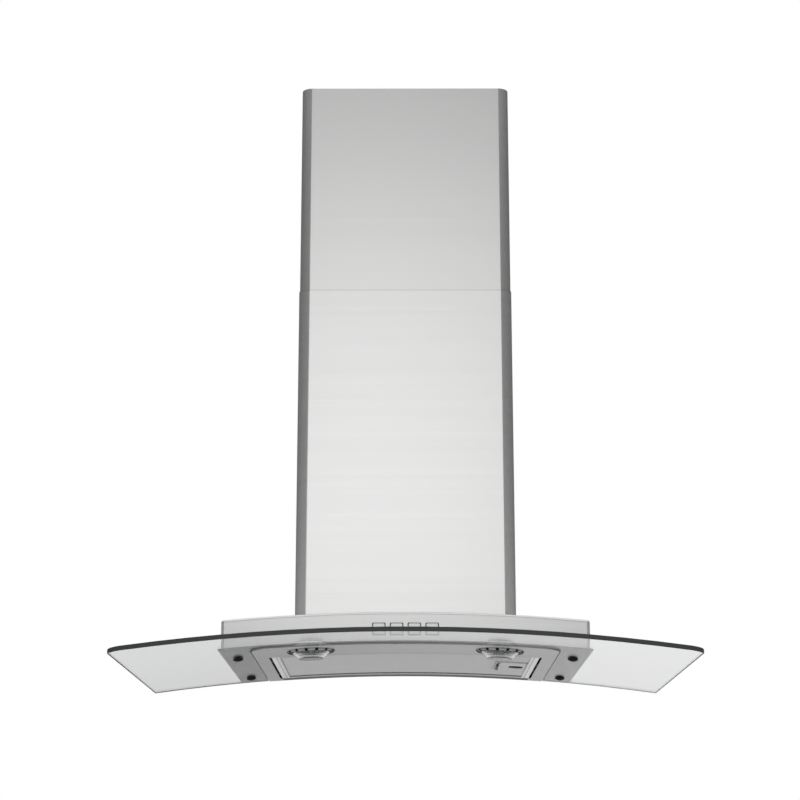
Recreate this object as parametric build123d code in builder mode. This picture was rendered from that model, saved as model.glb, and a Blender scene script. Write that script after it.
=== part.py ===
from build123d import *
import os
from math import asin, cos, sin, sqrt

os.makedirs("parts", exist_ok=True)

# Wall-mounted range hood with an arched glass canopy, all sizes in millimetres.
# X runs to the right, the wall is the plane y = 0 with the front towards -Y, and Z is up.
# The origin lies on the wall plane, on the centre line, at the crown of the housing's top.

# Shared clearances
SEAT_GAP = 0.2
SLIDE_GAP = 0.3
RUNNING_GAP = 0.05
SHEET = 1.0
CHIMNEY_SHEET = 0.8
CUT_REACH = 900.0
HEX_SIDES = 6
SCREW_CROWN_SHARE = 0.7

# Glass canopy
GLASS_WIDTH = 750.0
GLASS_DEPTH = 500.0
GLASS_THICKNESS = 6.0
GLASS_RISE = 26.5
GLASS_CORNER_RADIUS = 20.0
GLASS_EDGE_CHAMFER = 0.8
GLASS_CUTOUT_GAP = 1.5

# Clamping bolts that hold the glass under the pan's flange
BOLT_PAN_GAP = 23.0
BOLT_FRONT_Y = 290.0
BOLT_REAR_Y = 57.0
BOLT_RADIUS = 3.0
BOLT_HEAD_FLATS = 10.0
BOLT_HEAD_HEIGHT = 4.0
BUSH_RADIUS = 5.7
BUSH_FLANGE_RADIUS = 7.2
BUSH_FLANGE_THICKNESS = 0.6
CAP_RADIUS = 6.8
CAP_HEIGHT = 2.8
CAP_ROUND = 2.1
CAP_BORE_DEPTH = 1.8
BOLT_END_GAP = 0.4

# Underside pan, a drawn tray that drops through the cut-out in the glass
PAN_BORDER = 21.5
PAN_FRONT_INSET = 10.0
PAN_CORNER_RADIUS = 22.0
PAN_PROUD = 1.0
FLANGE_OVERHANG = 4.5
FLANGE_CORNER_RADIUS = 5.5

# Housing shell
SHELL_BORDER = 38.0
SHELL_FRONT_Y = 388.0
SHELL_HEIGHT = 33.0
SHELL_EDGE_RADIUS = 4.0
SHELL_RETURN = 26.0

# Back plate and wall holes
BACK_PLATE = 1.5
WALL_HOLE_RADIUS = 4.0
WALL_HOLE_SPACING_X = 220.0
WALL_HOLE_SPACING_Z = 130.0
WALL_HOLE_CENTRE_Z = 115.0

# Grease filter
FILTER_WIDTH = 364.0
FILTER_LAMP_GAP = 51.5
FILTER_REAR_Y = 28.5
FILTER_HEIGHT = 9.0
FILTER_RAIL = 11.0
FILTER_LIP = 1.0
FILTER_WALL = 1.2
FILTER_CORNER_RADIUS = 3.0
FILTER_SIDE_GAP = 3.5
FILTER_END_GAP = 1.5
FACE_MESH = 0.8
MESH_GAP = 0.2
HOOK_WIDTH = 12.0
HOOK_SPACING = 150.0
HOOK_REACH = 7.0
HOOK_THICKNESS = 1.2

# Filter latch
LATCH_WIDTH = 43.4
LATCH_LENGTH = 95.0
LATCH_CORNER_RADIUS = 8.0
LATCH_RAIL_GAP = 0.6
LATCH_TRAVEL = 4.0
LATCH_PLATE = 1.0
LATCH_PLATE_RECESS = 0.1
LATCH_MESH_GAP = 0.5
FINGER_HOLE_X = 19.5
FINGER_HOLE_Y = 26.0
FINGER_HOLE_RADIUS = 6.0
FINGER_HOLE_EDGE = 3.0
TONGUE_THICKNESS = 1.0
TONGUE_BASE = 6.0
TONGUE_WIDTH = 14.0
TONGUE_SPACING = 64.0
TONGUE_OVERLAP = 3.0
TONGUE_SLOT_GAP = 0.6
SPRING_LEAF = 0.6
SPRING_HEIGHT = 4.0
SPRING_LENGTH = 60.0

# Lamps
LAMP_X = 126.0
LAMP_FRONT_INSET = 45.0
LAMP_RING_RADIUS = 32.0
LAMP_RING_DROP = 2.6
LAMP_RING_CHAMFER = 1.4
LAMP_RING_COLLAR = 6.0
LAMP_RING_WALL = 1.8
LAMP_LENS_RADIUS = 25.2
LAMP_LENS_TIP_RADIUS = 16.2
LAMP_LENS_DROP = 11.0
LAMP_LENS_WALL = 2.0
LAMP_LENS_RIM = 3.0
LAMP_LENS_GAP = 0.4
LAMP_CAN_HEIGHT = 27.0
LAMP_CAN_FLANGE = 3.0
BULB_RADIUS = 5.5
BULB_BASE_RADIUS = 4.4
BULB_LENGTH = 14.0
BULB_BASE_LENGTH = 8.0

# Push buttons
BUTTON_COUNT = 4
BUTTON_PITCH = 23.3
BUTTON_WIDTH = 15.6
BUTTON_HEIGHT = 9.6
BUTTON_ROUND = 1.5
BUTTON_DROP = 20.3
BUTTON_PROUD = 2.5
BUTTON_EDGE_ROUND = 0.6
BUTTON_TRAVEL = 3.0
BUTTON_FLANGE = 1.2
BUTTON_STEM_WIDTH = 6.0
BUTTON_STEM_HEIGHT = 4.0
BUTTON_STEM_ENTRY = 13.0
BUTTON_BORE_SPARE = 1.0
BUTTON_BORE_GAP = 0.4
BEZEL_WALL = 0.5
BEZEL_PLATE = 1.5
BEZEL_MARGIN = 4.0
BEZEL_PROUD = 0.3
SWITCH_GAP = 1.8
SWITCH_LENGTH = 24.0
SWITCH_HEIGHT = 16.0
SWITCH_MARGIN = 5.0
SWITCH_STRIP = 1.2
SWITCH_STRIP_HEIGHT = 12.0
SWITCH_FOOT = 12.0

# Blower enclosure that stands on the housing
BOX_SIDE_GAP = 13.0
BOX_FRONT_GAP = 24.0
BOX_HEIGHT = 215.0
BOX_FLANGE = 14.0
AIR_OPENING_MARGIN = 2.0
BOX_SCREW_RADIUS = 2.0
BOX_SCREW_HEAD_RADIUS = 3.8
BOX_SCREW_HEAD = 2.2
BOX_SCREW_INSET = 40.0
BOX_SCREW_LENGTH = 5.0

# Blower wheel and scroll
BLOWER_Y = 150.0
BLOWER_TOP_DROP = 115.0
WHEEL_RADIUS = 75.0
BLADE_DEPTH = 13.0
WHEEL_WIDTH = 92.0
WHEEL_RING = 2.0
WHEEL_DISC = 2.0
BLADE_COUNT = 36
BLADE_THICKNESS = 1.0
BLADE_SWEEP = 5.0
BLADE_BOW = 2.6
HUB_RADIUS = 12.0
HUB_INNER_LENGTH = 14.0
HUB_MOTOR_LENGTH = 8.0
SCROLL_WHEEL_GAP = 7.0
SCROLL_GROWTH = 8.0
TONGUE_RADIUS = 15.0
SCROLL_WALL = 1.2
SCROLL_SIDE_GAP = 8.0
INLET_BLADE_GAP = 4.0
INLET_LIP = 4.5
INLET_LIP_WALL = 2.0

# Motor
MOTOR_RADIUS = 40.0
MOTOR_START_X = 10.0
MOTOR_OVERHANG = 9.0
MOTOR_ROUND = 4.0
MOTOR_RIB_COUNT = 12
MOTOR_RIB_DEPTH = 4.8
MOTOR_RIB_WIDTH = 2.4
SHAFT_RADIUS = 4.0
SHAFT_OVERRUN = 12.0
SHAFT_CHAMFER = 0.8
NUT_FLATS = 14.0
NUT_LENGTH = 8.0
BRACKET_SHEET = 2.0
BRACKET_ARM = 14.0
BRACKET_ARMS = 3
BRACKET_START_ANGLE = 90.0
BRACKET_RING_RADIUS = 30.0
BRACKET_BORE_RADIUS = 10.0
POST_INLET_GAP = 13.0
POST_RADIUS = 5.0
POST_SCREW_RADIUS = 1.9
POST_SCREW_HEAD_RADIUS = 3.5
POST_SCREW_HEAD = 2.4

# Capacitor and terminal box
CAPACITOR_RADIUS = 16.0
CAPACITOR_HEIGHT = 58.0
CAPACITOR_ROUND = 2.0
CAPACITOR_Y = 195.0
CAPACITOR_Z = 55.0
CLIP_SHEET = 1.2
CLIP_HEIGHT = 14.0
CLIP_FOOT = 46.0
TERMINAL_WIDTH = 44.0
TERMINAL_LENGTH = 84.0
TERMINAL_HEIGHT = 38.0
TERMINAL_WALL = 2.0
TERMINAL_ROUND = 4.0
TERMINAL_COLLAR_GAP = 7.0
TERMINAL_Y = 150.0
TERMINAL_LID = 2.5
TERMINAL_LID_ROUND = 0.8
GLAND_RADIUS = 7.0
GLAND_FLATS = 18.0
GLAND_HEX = 5.0
GLAND_NOSE_RADIUS = 7.5
GLAND_NOSE = 9.0
GLAND_BORE_RADIUS = 4.5
GLAND_INNER = 8.0
GLAND_TAPER = 8.0

# Duct collar and damper
COLLAR_RADIUS = 75.0
COLLAR_WALL = 2.0
COLLAR_HEIGHT = 60.0
COLLAR_FLANGE_RIM = 10.0
COLLAR_FLANGE_THICKNESS = 2.5
COLLAR_FLANGE_ROUND = 12.0
COLLAR_SCREW_INSET = 10.0
DAMPER_PIN_HEIGHT = 18.0
DAMPER_PIN_RADIUS = 2.5
DAMPER_BOSS_RADIUS = 6.0
DAMPER_BOSS_LENGTH = 10.0
DAMPER_LEDGE = 4.0
DAMPER_LEDGE_HEIGHT = 2.2
FLAP_THICKNESS = 1.6
FLAP_RIM_GAP = 2.5
FLAP_HINGE_GAP = 0.7
KNUCKLE_RADIUS = 4.5
KNUCKLE_LENGTH = 25.0
KNUCKLE_PITCH = 28.0
KNUCKLE_COUNT = 4

# Chimney covers
CHIMNEY_WIDTH = 306.0
CHIMNEY_DEPTH = 262.0
CHIMNEY_CORNER_RADIUS = 16.0
CHIMNEY_RETURN = 10.0
LOWER_COVER_TOP = 483.0
UPPER_COVER_TOP = 794.0
COVER_OVERLAP = 110.0
VENT_COUNT = 8
VENT_LENGTH = 60.0
VENT_HEIGHT = 5.0
VENT_PITCH = 10.0
VENT_DROP = 48.0

# Chimney brackets and their screws
WALL_STRIP = 1.2
WALL_STRIP_HEIGHT = 30.0
WALL_STRIP_DROP = 7.0
WALL_STRIP_INSET = 14.0
STRIP_STEP = 5.0
STRIP_EAR = 28.0
STRIP_HOLE_RADIUS = 4.0
STRIP_HOLE_SPACING = 200.0
COVER_SCREW_RADIUS = 2.0
COVER_SCREW_HEAD_RADIUS = 3.6
COVER_SCREW_HEAD = 1.8
COVER_SCREW_LENGTH = 6.0
COVER_SCREW_Y = 19.0
TAB_SHEET = 1.2
TAB_WIDTH = 30.0
TAB_HEIGHT = 36.0
TAB_FOOT = 8.5
TAB_Y = 135.0
TAB_SCREW_Z = 22.0

# Values that follow from the sizes above
PAN_WIDTH = FILTER_WIDTH + 2 * PAN_BORDER
PAN_FRONT_Y = SHELL_FRONT_Y - PAN_FRONT_INSET
SHELL_WIDTH = PAN_WIDTH + 2 * SHELL_BORDER
BOLT_X = PAN_WIDTH / 2 + BOLT_PAN_GAP
LAMP_Y = PAN_FRONT_Y - LAMP_FRONT_INSET
FILTER_FRONT_Y = LAMP_Y - FILTER_LAMP_GAP
BOX_WIDTH = CHIMNEY_WIDTH - 2 * BOX_SIDE_GAP
BOX_FRONT_Y = CHIMNEY_DEPTH - BOX_FRONT_GAP
WALL_STRIP_HALF = CHIMNEY_WIDTH / 2 - WALL_STRIP_INSET
BLOWER_Z = BOX_HEIGHT - BLOWER_TOP_DROP
WHEEL_INNER_RADIUS = WHEEL_RADIUS - BLADE_DEPTH
SCROLL_START_RADIUS = WHEEL_RADIUS + SCROLL_WHEEL_GAP
INLET_RADIUS = WHEEL_INNER_RADIUS - INLET_BLADE_GAP
POST_CIRCLE_RADIUS = INLET_RADIUS + POST_INLET_GAP
MOTOR_LENGTH = WHEEL_WIDTH / 2 + SCROLL_SIDE_GAP + MOTOR_OVERHANG - MOTOR_START_X
COLLAR_FLANGE = 2 * (COLLAR_RADIUS + COLLAR_FLANGE_RIM)
COLLAR_SCREW_SPACING = COLLAR_FLANGE - 2 * COLLAR_SCREW_INSET
ARCH_RADIUS = ((GLASS_WIDTH / 2) ** 2 + GLASS_RISE**2) / (2 * GLASS_RISE)
PAN_FLANGE_LOW = GLASS_THICKNESS + SLIDE_GAP
PAN_FLANGE_HIGH = PAN_FLANGE_LOW + SHEET
SHELL_LOW = PAN_FLANGE_HIGH + SEAT_GAP
SHELL_TOP = SHELL_LOW + SHELL_HEIGHT
SHELL_BACK_Y = BACK_PLATE + SEAT_GAP


# Height of the arch at a distance from the centre line, for a level above the glass underside
def arch_z(x, level):
    return sqrt((ARCH_RADIUS + level) ** 2 - x**2) - ARCH_RADIUS - SHELL_TOP


# Cross-section of an arched plate, concentric with the glass
def arch_band(half_width, low, high):
    with BuildSketch(Plane.XZ) as band:
        with BuildLine():
            lower = ThreePointArc(
                (-half_width, arch_z(half_width, low)),
                (0, arch_z(0, low)),
                (half_width, arch_z(half_width, low)),
            )
            upper = ThreePointArc(
                (-half_width, arch_z(half_width, high)),
                (0, arch_z(0, high)),
                (half_width, arch_z(half_width, high)),
            )
            Line(lower @ 0, upper @ 0)
            Line(lower @ 1, upper @ 1)
        make_face()
    return band.sketch


# Plan outline between two distances from the wall, with rounded front corners
def plan_outline(half_width, front, back, radius):
    with BuildSketch(Plane.XY) as outline:
        with Locations((0, -(front + back) / 2)):
            Rectangle(2 * half_width, front - back)
        if radius > 0:
            fillet(outline.vertices().group_by(Axis.Y)[0], radius)
    return outline.sketch


# Piece of an arched plate between two x values, with its left corners rounded
def arched_patch(x_low, x_high, front, back, low, high, radius=0):
    with BuildPart() as patch:
        reach = max(abs(x_low), abs(x_high)) + SHEET
        extrude(arch_band(reach, low, high), amount=front + SHEET)
        with BuildSketch(Plane.XY) as outline:
            with Locations(((x_low + x_high) / 2, -(front + back) / 2)):
                Rectangle(x_high - x_low, front - back)
            if radius > 0:
                fillet(outline.vertices().group_by(Axis.X)[0], radius)
        extrude(amount=CUT_REACH, both=True, mode=Mode.INTERSECT)
    return patch.part


# Arched plate with a plan outline, between two levels
def arched_slab(half_width, front, back, radius, low, high):
    with BuildPart() as slab:
        extrude(arch_band(half_width + SHEET, low, high), amount=front + SHEET)
        extrude(
            plan_outline(half_width, front, back, radius),
            amount=CUT_REACH,
            both=True,
            mode=Mode.INTERSECT,
        )
    return slab.part


# Plane that lies on the arch at a level, on the line square to the glass underside at x
def arch_plane(x, y, level):
    tilt = asin(x / ARCH_RADIUS)
    reach = ARCH_RADIUS + level
    return Plane(
        origin=(reach * sin(tilt), y, reach * cos(tilt) - ARCH_RADIUS - SHELL_TOP),
        x_dir=(cos(tilt), 0, -sin(tilt)),
        z_dir=(sin(tilt), 0, cos(tilt)),
    )


# Turned solid from a profile of radius and height around a plane's z axis
def turned(plane, points):
    section = Plane(origin=plane.origin, x_dir=plane.x_dir, z_dir=-plane.y_dir)
    with BuildPart() as body:
        with BuildSketch(section):
            with BuildLine():
                Polyline(*points, close=True)
            make_face()
        revolve(axis=Axis(plane.origin, plane.z_dir))
    return body.part


# Face of a bent strip in plan, thickened to one side of its path
def bent_strip(plane, points, thickness, side):
    with BuildSketch(plane) as strip:
        with BuildLine():
            Polyline(*points)
            offset(amount=thickness, side=side)
        make_face()
    return strip.sketch


# Pan-head screw whose head lies on a plane, with the shank running against its z axis
def pan_screw(plane, head_radius, head_height, shank_radius, shank_length):
    profile = [
        (0, -shank_length),
        (shank_radius, -shank_length),
        (shank_radius, 0),
        (head_radius, 0),
        (head_radius, head_height / 2),
        (head_radius * SCREW_CROWN_SHARE, head_height),
        (0, head_height),
    ]
    return turned(plane, profile)


# Places shared by several pieces
box_half = BOX_WIDTH / 2
box_low = SHELL_TOP + SEAT_GAP
LAMP_PLACES = [(-LAMP_X, "left"), (LAMP_X, "right")]
BOX_SCREW_PLACES = [
    (side * (box_half - BOX_FLANGE / 2), y)
    for side in (-1, 1)
    for y in (-BOX_SCREW_INSET, BOX_SCREW_INSET - BOX_FRONT_Y)
]
BOLT_PLACES = [
    (BOLT_X, -BOLT_FRONT_Y),
    (-BOLT_X, -BOLT_FRONT_Y),
    (BOLT_X, -BOLT_REAR_Y),
    (-BOLT_X, -BOLT_REAR_Y),
]

# Glass canopy
cutout_half = PAN_WIDTH / 2 + GLASS_CUTOUT_GAP
cutout_front = PAN_FRONT_Y + GLASS_CUTOUT_GAP
cutout_radius = PAN_CORNER_RADIUS + GLASS_CUTOUT_GAP
glass_hole_radius = BUSH_RADIUS + SLIDE_GAP

with BuildPart() as glass_canopy:
    extrude(arch_band(GLASS_WIDTH / 2, 0, GLASS_THICKNESS), amount=GLASS_DEPTH)
    fillet(glass_canopy.edges().filter_by(Axis.Z).group_by(Axis.Y)[0], GLASS_CORNER_RADIUS)
    glass_faces = glass_canopy.faces().filter_by(GeomType.CYLINDER).sort_by(SortBy.AREA)[-2:]
    chamfer(glass_faces.edges().sort_by(Axis.Y)[:-2], GLASS_EDGE_CHAMFER)
    extrude(
        plan_outline(cutout_half, cutout_front, -GLASS_DEPTH, cutout_radius),
        amount=CUT_REACH,
        both=True,
        mode=Mode.SUBTRACT,
    )
    with Locations(*[arch_plane(x, y, GLASS_THICKNESS / 2) for x, y in BOLT_PLACES]):
        Cylinder(glass_hole_radius, 2 * GLASS_THICKNESS, mode=Mode.SUBTRACT)
glass_canopy.part.label = "glass_canopy"
export_step(glass_canopy.part, "parts/glass_canopy.step")

# Clamping bolts, rubber bushes and black cap nuts of the glass
return_top = SHELL_LOW + SHEET
bush_low = -BUSH_FLANGE_THICKNESS - SEAT_GAP
cap_top = bush_low - SEAT_GAP
bolt_end = cap_top - CAP_BORE_DEPTH + BOLT_END_GAP
bolt_hole_radius = BOLT_RADIUS + SLIDE_GAP

with BuildPart() as glass_bolts:
    for x, y in BOLT_PLACES:
        with BuildSketch(arch_plane(x, y, return_top + SEAT_GAP)):
            RegularPolygon(BOLT_HEAD_FLATS / 2, HEX_SIDES, major_radius=False)
        extrude(amount=BOLT_HEAD_HEIGHT)
        with BuildSketch(arch_plane(x, y, bolt_end)):
            Circle(BOLT_RADIUS)
        extrude(amount=return_top + SEAT_GAP - bolt_end)
glass_bolts.part.label = "glass_bolts"
export_step(glass_bolts.part, "parts/glass_bolts.step")

bush_profile = [
    (bolt_hole_radius, bush_low),
    (BUSH_FLANGE_RADIUS, bush_low),
    (BUSH_FLANGE_RADIUS, -SEAT_GAP),
    (BUSH_RADIUS, -SEAT_GAP),
    (BUSH_RADIUS, PAN_FLANGE_LOW - SEAT_GAP / 2),
    (bolt_hole_radius, PAN_FLANGE_LOW - SEAT_GAP / 2),
]
with BuildPart() as glass_bushes:
    for x, y in BOLT_PLACES:
        add(turned(arch_plane(x, y, 0), bush_profile))
glass_bushes.part.label = "glass_bushes"
export_step(glass_bushes.part, "parts/glass_bushes.step")

with BuildPart() as glass_cap_nuts:
    for x, y in BOLT_PLACES:
        with BuildSketch(arch_plane(x, y, cap_top)):
            Circle(CAP_RADIUS)
        extrude(amount=-CAP_HEIGHT)
    fillet(glass_cap_nuts.faces().filter_by(GeomType.PLANE).sort_by(Axis.Z)[0:4].edges(), CAP_ROUND)
    for x, y in BOLT_PLACES:
        with BuildSketch(arch_plane(x, y, cap_top)):
            Circle(BOLT_RADIUS + RUNNING_GAP)
        extrude(amount=-CAP_BORE_DEPTH, mode=Mode.SUBTRACT)
glass_cap_nuts.part.label = "glass_cap_nuts"
export_step(glass_cap_nuts.part, "parts/glass_cap_nuts.step")

# Underside pan with its flange, lamp holes and filter opening
pan_back = SHELL_BACK_Y + SEAT_GAP
pan_half = PAN_WIDTH / 2
pan_bottom = -PAN_PROUD
pan_floor = pan_bottom + SHEET
flange_half = SHELL_WIDTH / 2 + FLANGE_OVERHANG
flange_front = SHELL_FRONT_Y + FLANGE_OVERHANG
opening_half = FILTER_WIDTH / 2 + FILTER_SIDE_GAP
opening_front = FILTER_FRONT_Y + FILTER_END_GAP
opening_back = FILTER_REAR_Y - FILTER_END_GAP
lamp_hole_radius = LAMP_LENS_RADIUS + LAMP_LENS_GAP + LAMP_RING_WALL + LAMP_LENS_GAP

flange_slab = arched_slab(
    flange_half, flange_front, pan_back, FLANGE_CORNER_RADIUS, pan_bottom, PAN_FLANGE_HIGH
)
tray_hollow = arched_slab(
    pan_half - SHEET,
    PAN_FRONT_Y - SHEET,
    pan_back + SHEET,
    PAN_CORNER_RADIUS - SHEET,
    pan_floor,
    PAN_FLANGE_HIGH + SHEET,
)
with BuildPart() as flange_relief:
    add(arched_slab(flange_half + SHEET, flange_front + SHEET, 0, 0, pan_bottom - SHEET, PAN_FLANGE_LOW))
    extrude(
        plan_outline(pan_half, PAN_FRONT_Y, -GLASS_DEPTH, PAN_CORNER_RADIUS),
        amount=CUT_REACH,
        both=True,
        mode=Mode.SUBTRACT,
    )
with BuildPart() as underside_pan:
    add(flange_slab)
    add(flange_relief.part, mode=Mode.SUBTRACT)
    add(tray_hollow, mode=Mode.SUBTRACT)
    extrude(
        plan_outline(opening_half, opening_front, opening_back, 0),
        amount=CUT_REACH,
        both=True,
        mode=Mode.SUBTRACT,
    )
    with Locations(*[arch_plane(x, -LAMP_Y, pan_bottom) for x, name in LAMP_PLACES]):
        Cylinder(lamp_hole_radius, 4 * SHEET, mode=Mode.SUBTRACT)
    with Locations(*[arch_plane(x, y, PAN_FLANGE_LOW) for x, y in BOLT_PLACES]):
        Cylinder(bolt_hole_radius, 4 * SHEET, mode=Mode.SUBTRACT)
underside_pan.part.label = "underside_pan"
export_step(underside_pan.part, "parts/underside_pan.step")

# Housing shell: arched top, front and sides from one sheet, open below and behind
shell_half = SHELL_WIDTH / 2
air_half = BOX_WIDTH / 2 - BOX_FLANGE - AIR_OPENING_MARGIN
air_front = BOX_FRONT_Y - BOX_FLANGE - AIR_OPENING_MARGIN
air_back = SHELL_BACK_Y + BOX_FLANGE
bezel_half_x = BUTTON_WIDTH / 2 + SLIDE_GAP + BEZEL_WALL
bezel_half_z = BUTTON_HEIGHT / 2 + SLIDE_GAP + BEZEL_WALL
button_first_x = -BUTTON_PITCH * (BUTTON_COUNT - 1) / 2
BUTTON_PLACES = [button_first_x + BUTTON_PITCH * i for i in range(BUTTON_COUNT)]

shell_slab = arched_slab(shell_half, SHELL_FRONT_Y, SHELL_BACK_Y, 0, SHELL_LOW, SHELL_TOP)
return_opening = arched_slab(
    shell_half - SHELL_RETURN,
    SHELL_FRONT_Y - SHELL_RETURN,
    -GLASS_DEPTH,
    0,
    SHELL_LOW - SHEET,
    SHELL_LOW + 2 * SHEET,
)
with BuildPart() as shell_hollow:
    extrude(
        arch_band(shell_half - SHEET, SHELL_LOW + SHEET, SHELL_TOP - SHEET),
        amount=SHELL_FRONT_Y - SHEET,
    )
    hollow_top = shell_hollow.faces().sort_by(Axis.Z)[-1]
    hollow_edges = hollow_top.edges().sort_by(Axis.Y)[:-1]
    hollow_corners = shell_hollow.edges().filter_by(Axis.Z).group_by(Axis.Y)[0]
    fillet(hollow_edges + hollow_corners, SHELL_EDGE_RADIUS - SHEET)
with BuildPart() as hood_shell:
    add(shell_slab)
    shell_top_face = hood_shell.faces().sort_by(Axis.Z)[-1]
    shell_edges = shell_top_face.edges().sort_by(Axis.Y)[:-1]
    shell_corners = hood_shell.edges().filter_by(Axis.Z).group_by(Axis.Y)[0]
    fillet(shell_edges + shell_corners, SHELL_EDGE_RADIUS)
    add(shell_hollow.part, mode=Mode.SUBTRACT)
    add(return_opening, mode=Mode.SUBTRACT)
    extrude(
        plan_outline(air_half, air_front, air_back, 0),
        amount=CUT_REACH,
        both=True,
        mode=Mode.SUBTRACT,
    )
    with BuildSketch(Plane.XZ.offset(SHELL_FRONT_Y - 2 * SHEET)):
        with Locations(*[(x, -BUTTON_DROP) for x in BUTTON_PLACES]):
            RectangleRounded(
                2 * (bezel_half_x + SLIDE_GAP), 2 * (bezel_half_z + SLIDE_GAP), BUTTON_ROUND
            )
    extrude(amount=4 * SHEET, mode=Mode.SUBTRACT)
    with Locations(*[arch_plane(x, y, SHELL_LOW) for x, y in BOLT_PLACES]):
        Cylinder(bolt_hole_radius, 4 * SHEET, mode=Mode.SUBTRACT)
    with Locations(*[arch_plane(x, y, SHELL_TOP) for x, y in BOX_SCREW_PLACES]):
        Cylinder(BOX_SCREW_RADIUS + SLIDE_GAP, 4 * SHEET, mode=Mode.SUBTRACT)
hood_shell.part.label = "hood_shell"
export_step(hood_shell.part, "parts/hood_shell.step")

# Back plate: closes the housing behind and carries the blower enclosure on the wall
with BuildPart() as back_plate:
    extrude(arch_band(shell_half, SHELL_LOW, SHELL_TOP), amount=BACK_PLATE)
    with BuildSketch(Plane.XZ):
        with Locations((0, arch_z(0, SHELL_LOW + SHEET))):
            Rectangle(BOX_WIDTH, BOX_HEIGHT - arch_z(0, SHELL_LOW + SHEET), align=(Align.CENTER, Align.MIN))
    extrude(amount=BACK_PLATE)
    with BuildSketch(Plane.XZ):
        with Locations((0, WALL_HOLE_CENTRE_Z)):
            with GridLocations(WALL_HOLE_SPACING_X, WALL_HOLE_SPACING_Z, 2, 2):
                Circle(WALL_HOLE_RADIUS)
    extrude(amount=BACK_PLATE, mode=Mode.SUBTRACT)
back_plate.part.label = "back_plate"
export_step(back_plate.part, "parts/back_plate.step")

# Blower enclosure: sheet box with an open back, an inward foot flange and the outlet in its top
box_back = BACK_PLATE + SEAT_GAP
outlet_front = BLOWER_Y - TONGUE_RADIUS
outlet_back = BLOWER_Y - SCROLL_START_RADIUS - 3 * SCROLL_GROWTH
scroll_half = WHEEL_WIDTH / 2 + SCROLL_SIDE_GAP
collar_y = (outlet_front + outlet_back) / 2
below_box = arched_slab(shell_half, SHELL_FRONT_Y, -GLASS_DEPTH, 0, -SHELL_HEIGHT, box_low)
below_inside = arched_slab(shell_half, SHELL_FRONT_Y, -GLASS_DEPTH, 0, -SHELL_HEIGHT, box_low + SHEET)
with BuildPart() as box_inside:
    extrude(
        plan_outline(box_half - SHEET, BOX_FRONT_Y - SHEET, -GLASS_DEPTH, 0),
        amount=BOX_HEIGHT - SHEET,
    )
    with BuildSketch(Plane.XY):
        with Locations((0, -BOX_FRONT_Y / 2)):
            Rectangle(2 * (box_half - SHEET), BOX_FRONT_Y - 2 * SHEET)
    extrude(amount=-SHELL_HEIGHT)
    add(below_inside, mode=Mode.SUBTRACT)
with BuildPart() as motor_box:
    extrude(plan_outline(box_half, BOX_FRONT_Y, box_back, 0), amount=BOX_HEIGHT)
    with BuildSketch(Plane.XY):
        with Locations((0, -(BOX_FRONT_Y + box_back) / 2)):
            Rectangle(BOX_WIDTH, BOX_FRONT_Y - box_back)
    extrude(amount=-SHELL_HEIGHT)
    add(below_box, mode=Mode.SUBTRACT)
    add(box_inside.part, mode=Mode.SUBTRACT)
    with BuildSketch(Plane.XY.offset(-SHELL_HEIGHT)):
        with Locations((0, -(BOX_FRONT_Y - BOX_FLANGE) / 2)):
            Rectangle(2 * (box_half - BOX_FLANGE), BOX_FRONT_Y - BOX_FLANGE)
    extrude(amount=2 * SHELL_HEIGHT, mode=Mode.SUBTRACT)
    with BuildSketch(Plane.XY.offset(BOX_HEIGHT - 2 * SHEET)):
        with Locations((0, -collar_y)):
            Rectangle(2 * scroll_half, outlet_front - outlet_back)
            with GridLocations(COLLAR_SCREW_SPACING, COLLAR_SCREW_SPACING, 2, 2):
                Circle(COVER_SCREW_RADIUS + SLIDE_GAP)
    extrude(amount=4 * SHEET, mode=Mode.SUBTRACT)
    with Locations(*[arch_plane(x, y, box_low) for x, y in BOX_SCREW_PLACES]):
        Cylinder(BOX_SCREW_RADIUS + SLIDE_GAP, 4 * SHEET, mode=Mode.SUBTRACT)
motor_box.part.label = "motor_box"
export_step(motor_box.part, "parts/motor_box.step")

with BuildPart() as motor_box_screws:
    for x, y in BOX_SCREW_PLACES:
        add(
            pan_screw(
                arch_plane(x, y, box_low + SHEET + SEAT_GAP),
                BOX_SCREW_HEAD_RADIUS,
                BOX_SCREW_HEAD,
                BOX_SCREW_RADIUS,
                BOX_SCREW_LENGTH,
            )
        )
motor_box_screws.part.label = "motor_box_screws"
export_step(motor_box_screws.part, "parts/motor_box_screws.step")

# Scroll casing: a spiral of quarter arcs that opens tangentially into the outlet
start_radius = SCROLL_START_RADIUS
second_radius = SCROLL_START_RADIUS + SCROLL_GROWTH
third_radius = SCROLL_START_RADIUS + 2 * SCROLL_GROWTH
scroll_top = BOX_HEIGHT - SHEET - SEAT_GAP
blower_plane = Plane(origin=(0, -BLOWER_Y, BLOWER_Z), x_dir=(0, 1, 0), z_dir=(1, 0, 0))


# Inside of the scroll in the plane of the wheel, grown outwards by a wall
def scroll_outline(plane, wall):
    rise = scroll_top - BLOWER_Z
    with BuildSketch(plane) as outline:
        with BuildLine():
            first = RadiusArc((0, start_radius), (-start_radius, 0), -start_radius)
            second = RadiusArc(
                first @ 1, (second_radius - start_radius, -second_radius), -second_radius
            )
            third = RadiusArc(
                second @ 1,
                ((second @ 1).X + third_radius, (second @ 1).Y + third_radius),
                -third_radius,
            )
            back = Line(third @ 1, ((third @ 1).X, rise))
            mouth = Line(back @ 1, (TONGUE_RADIUS, rise))
            lip = Line(mouth @ 1, (TONGUE_RADIUS, start_radius + TONGUE_RADIUS))
            RadiusArc(lip @ 1, (0, start_radius), TONGUE_RADIUS)
        make_face()
        if wall > 0:
            offset(amount=wall)
    return outline.sketch


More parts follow.
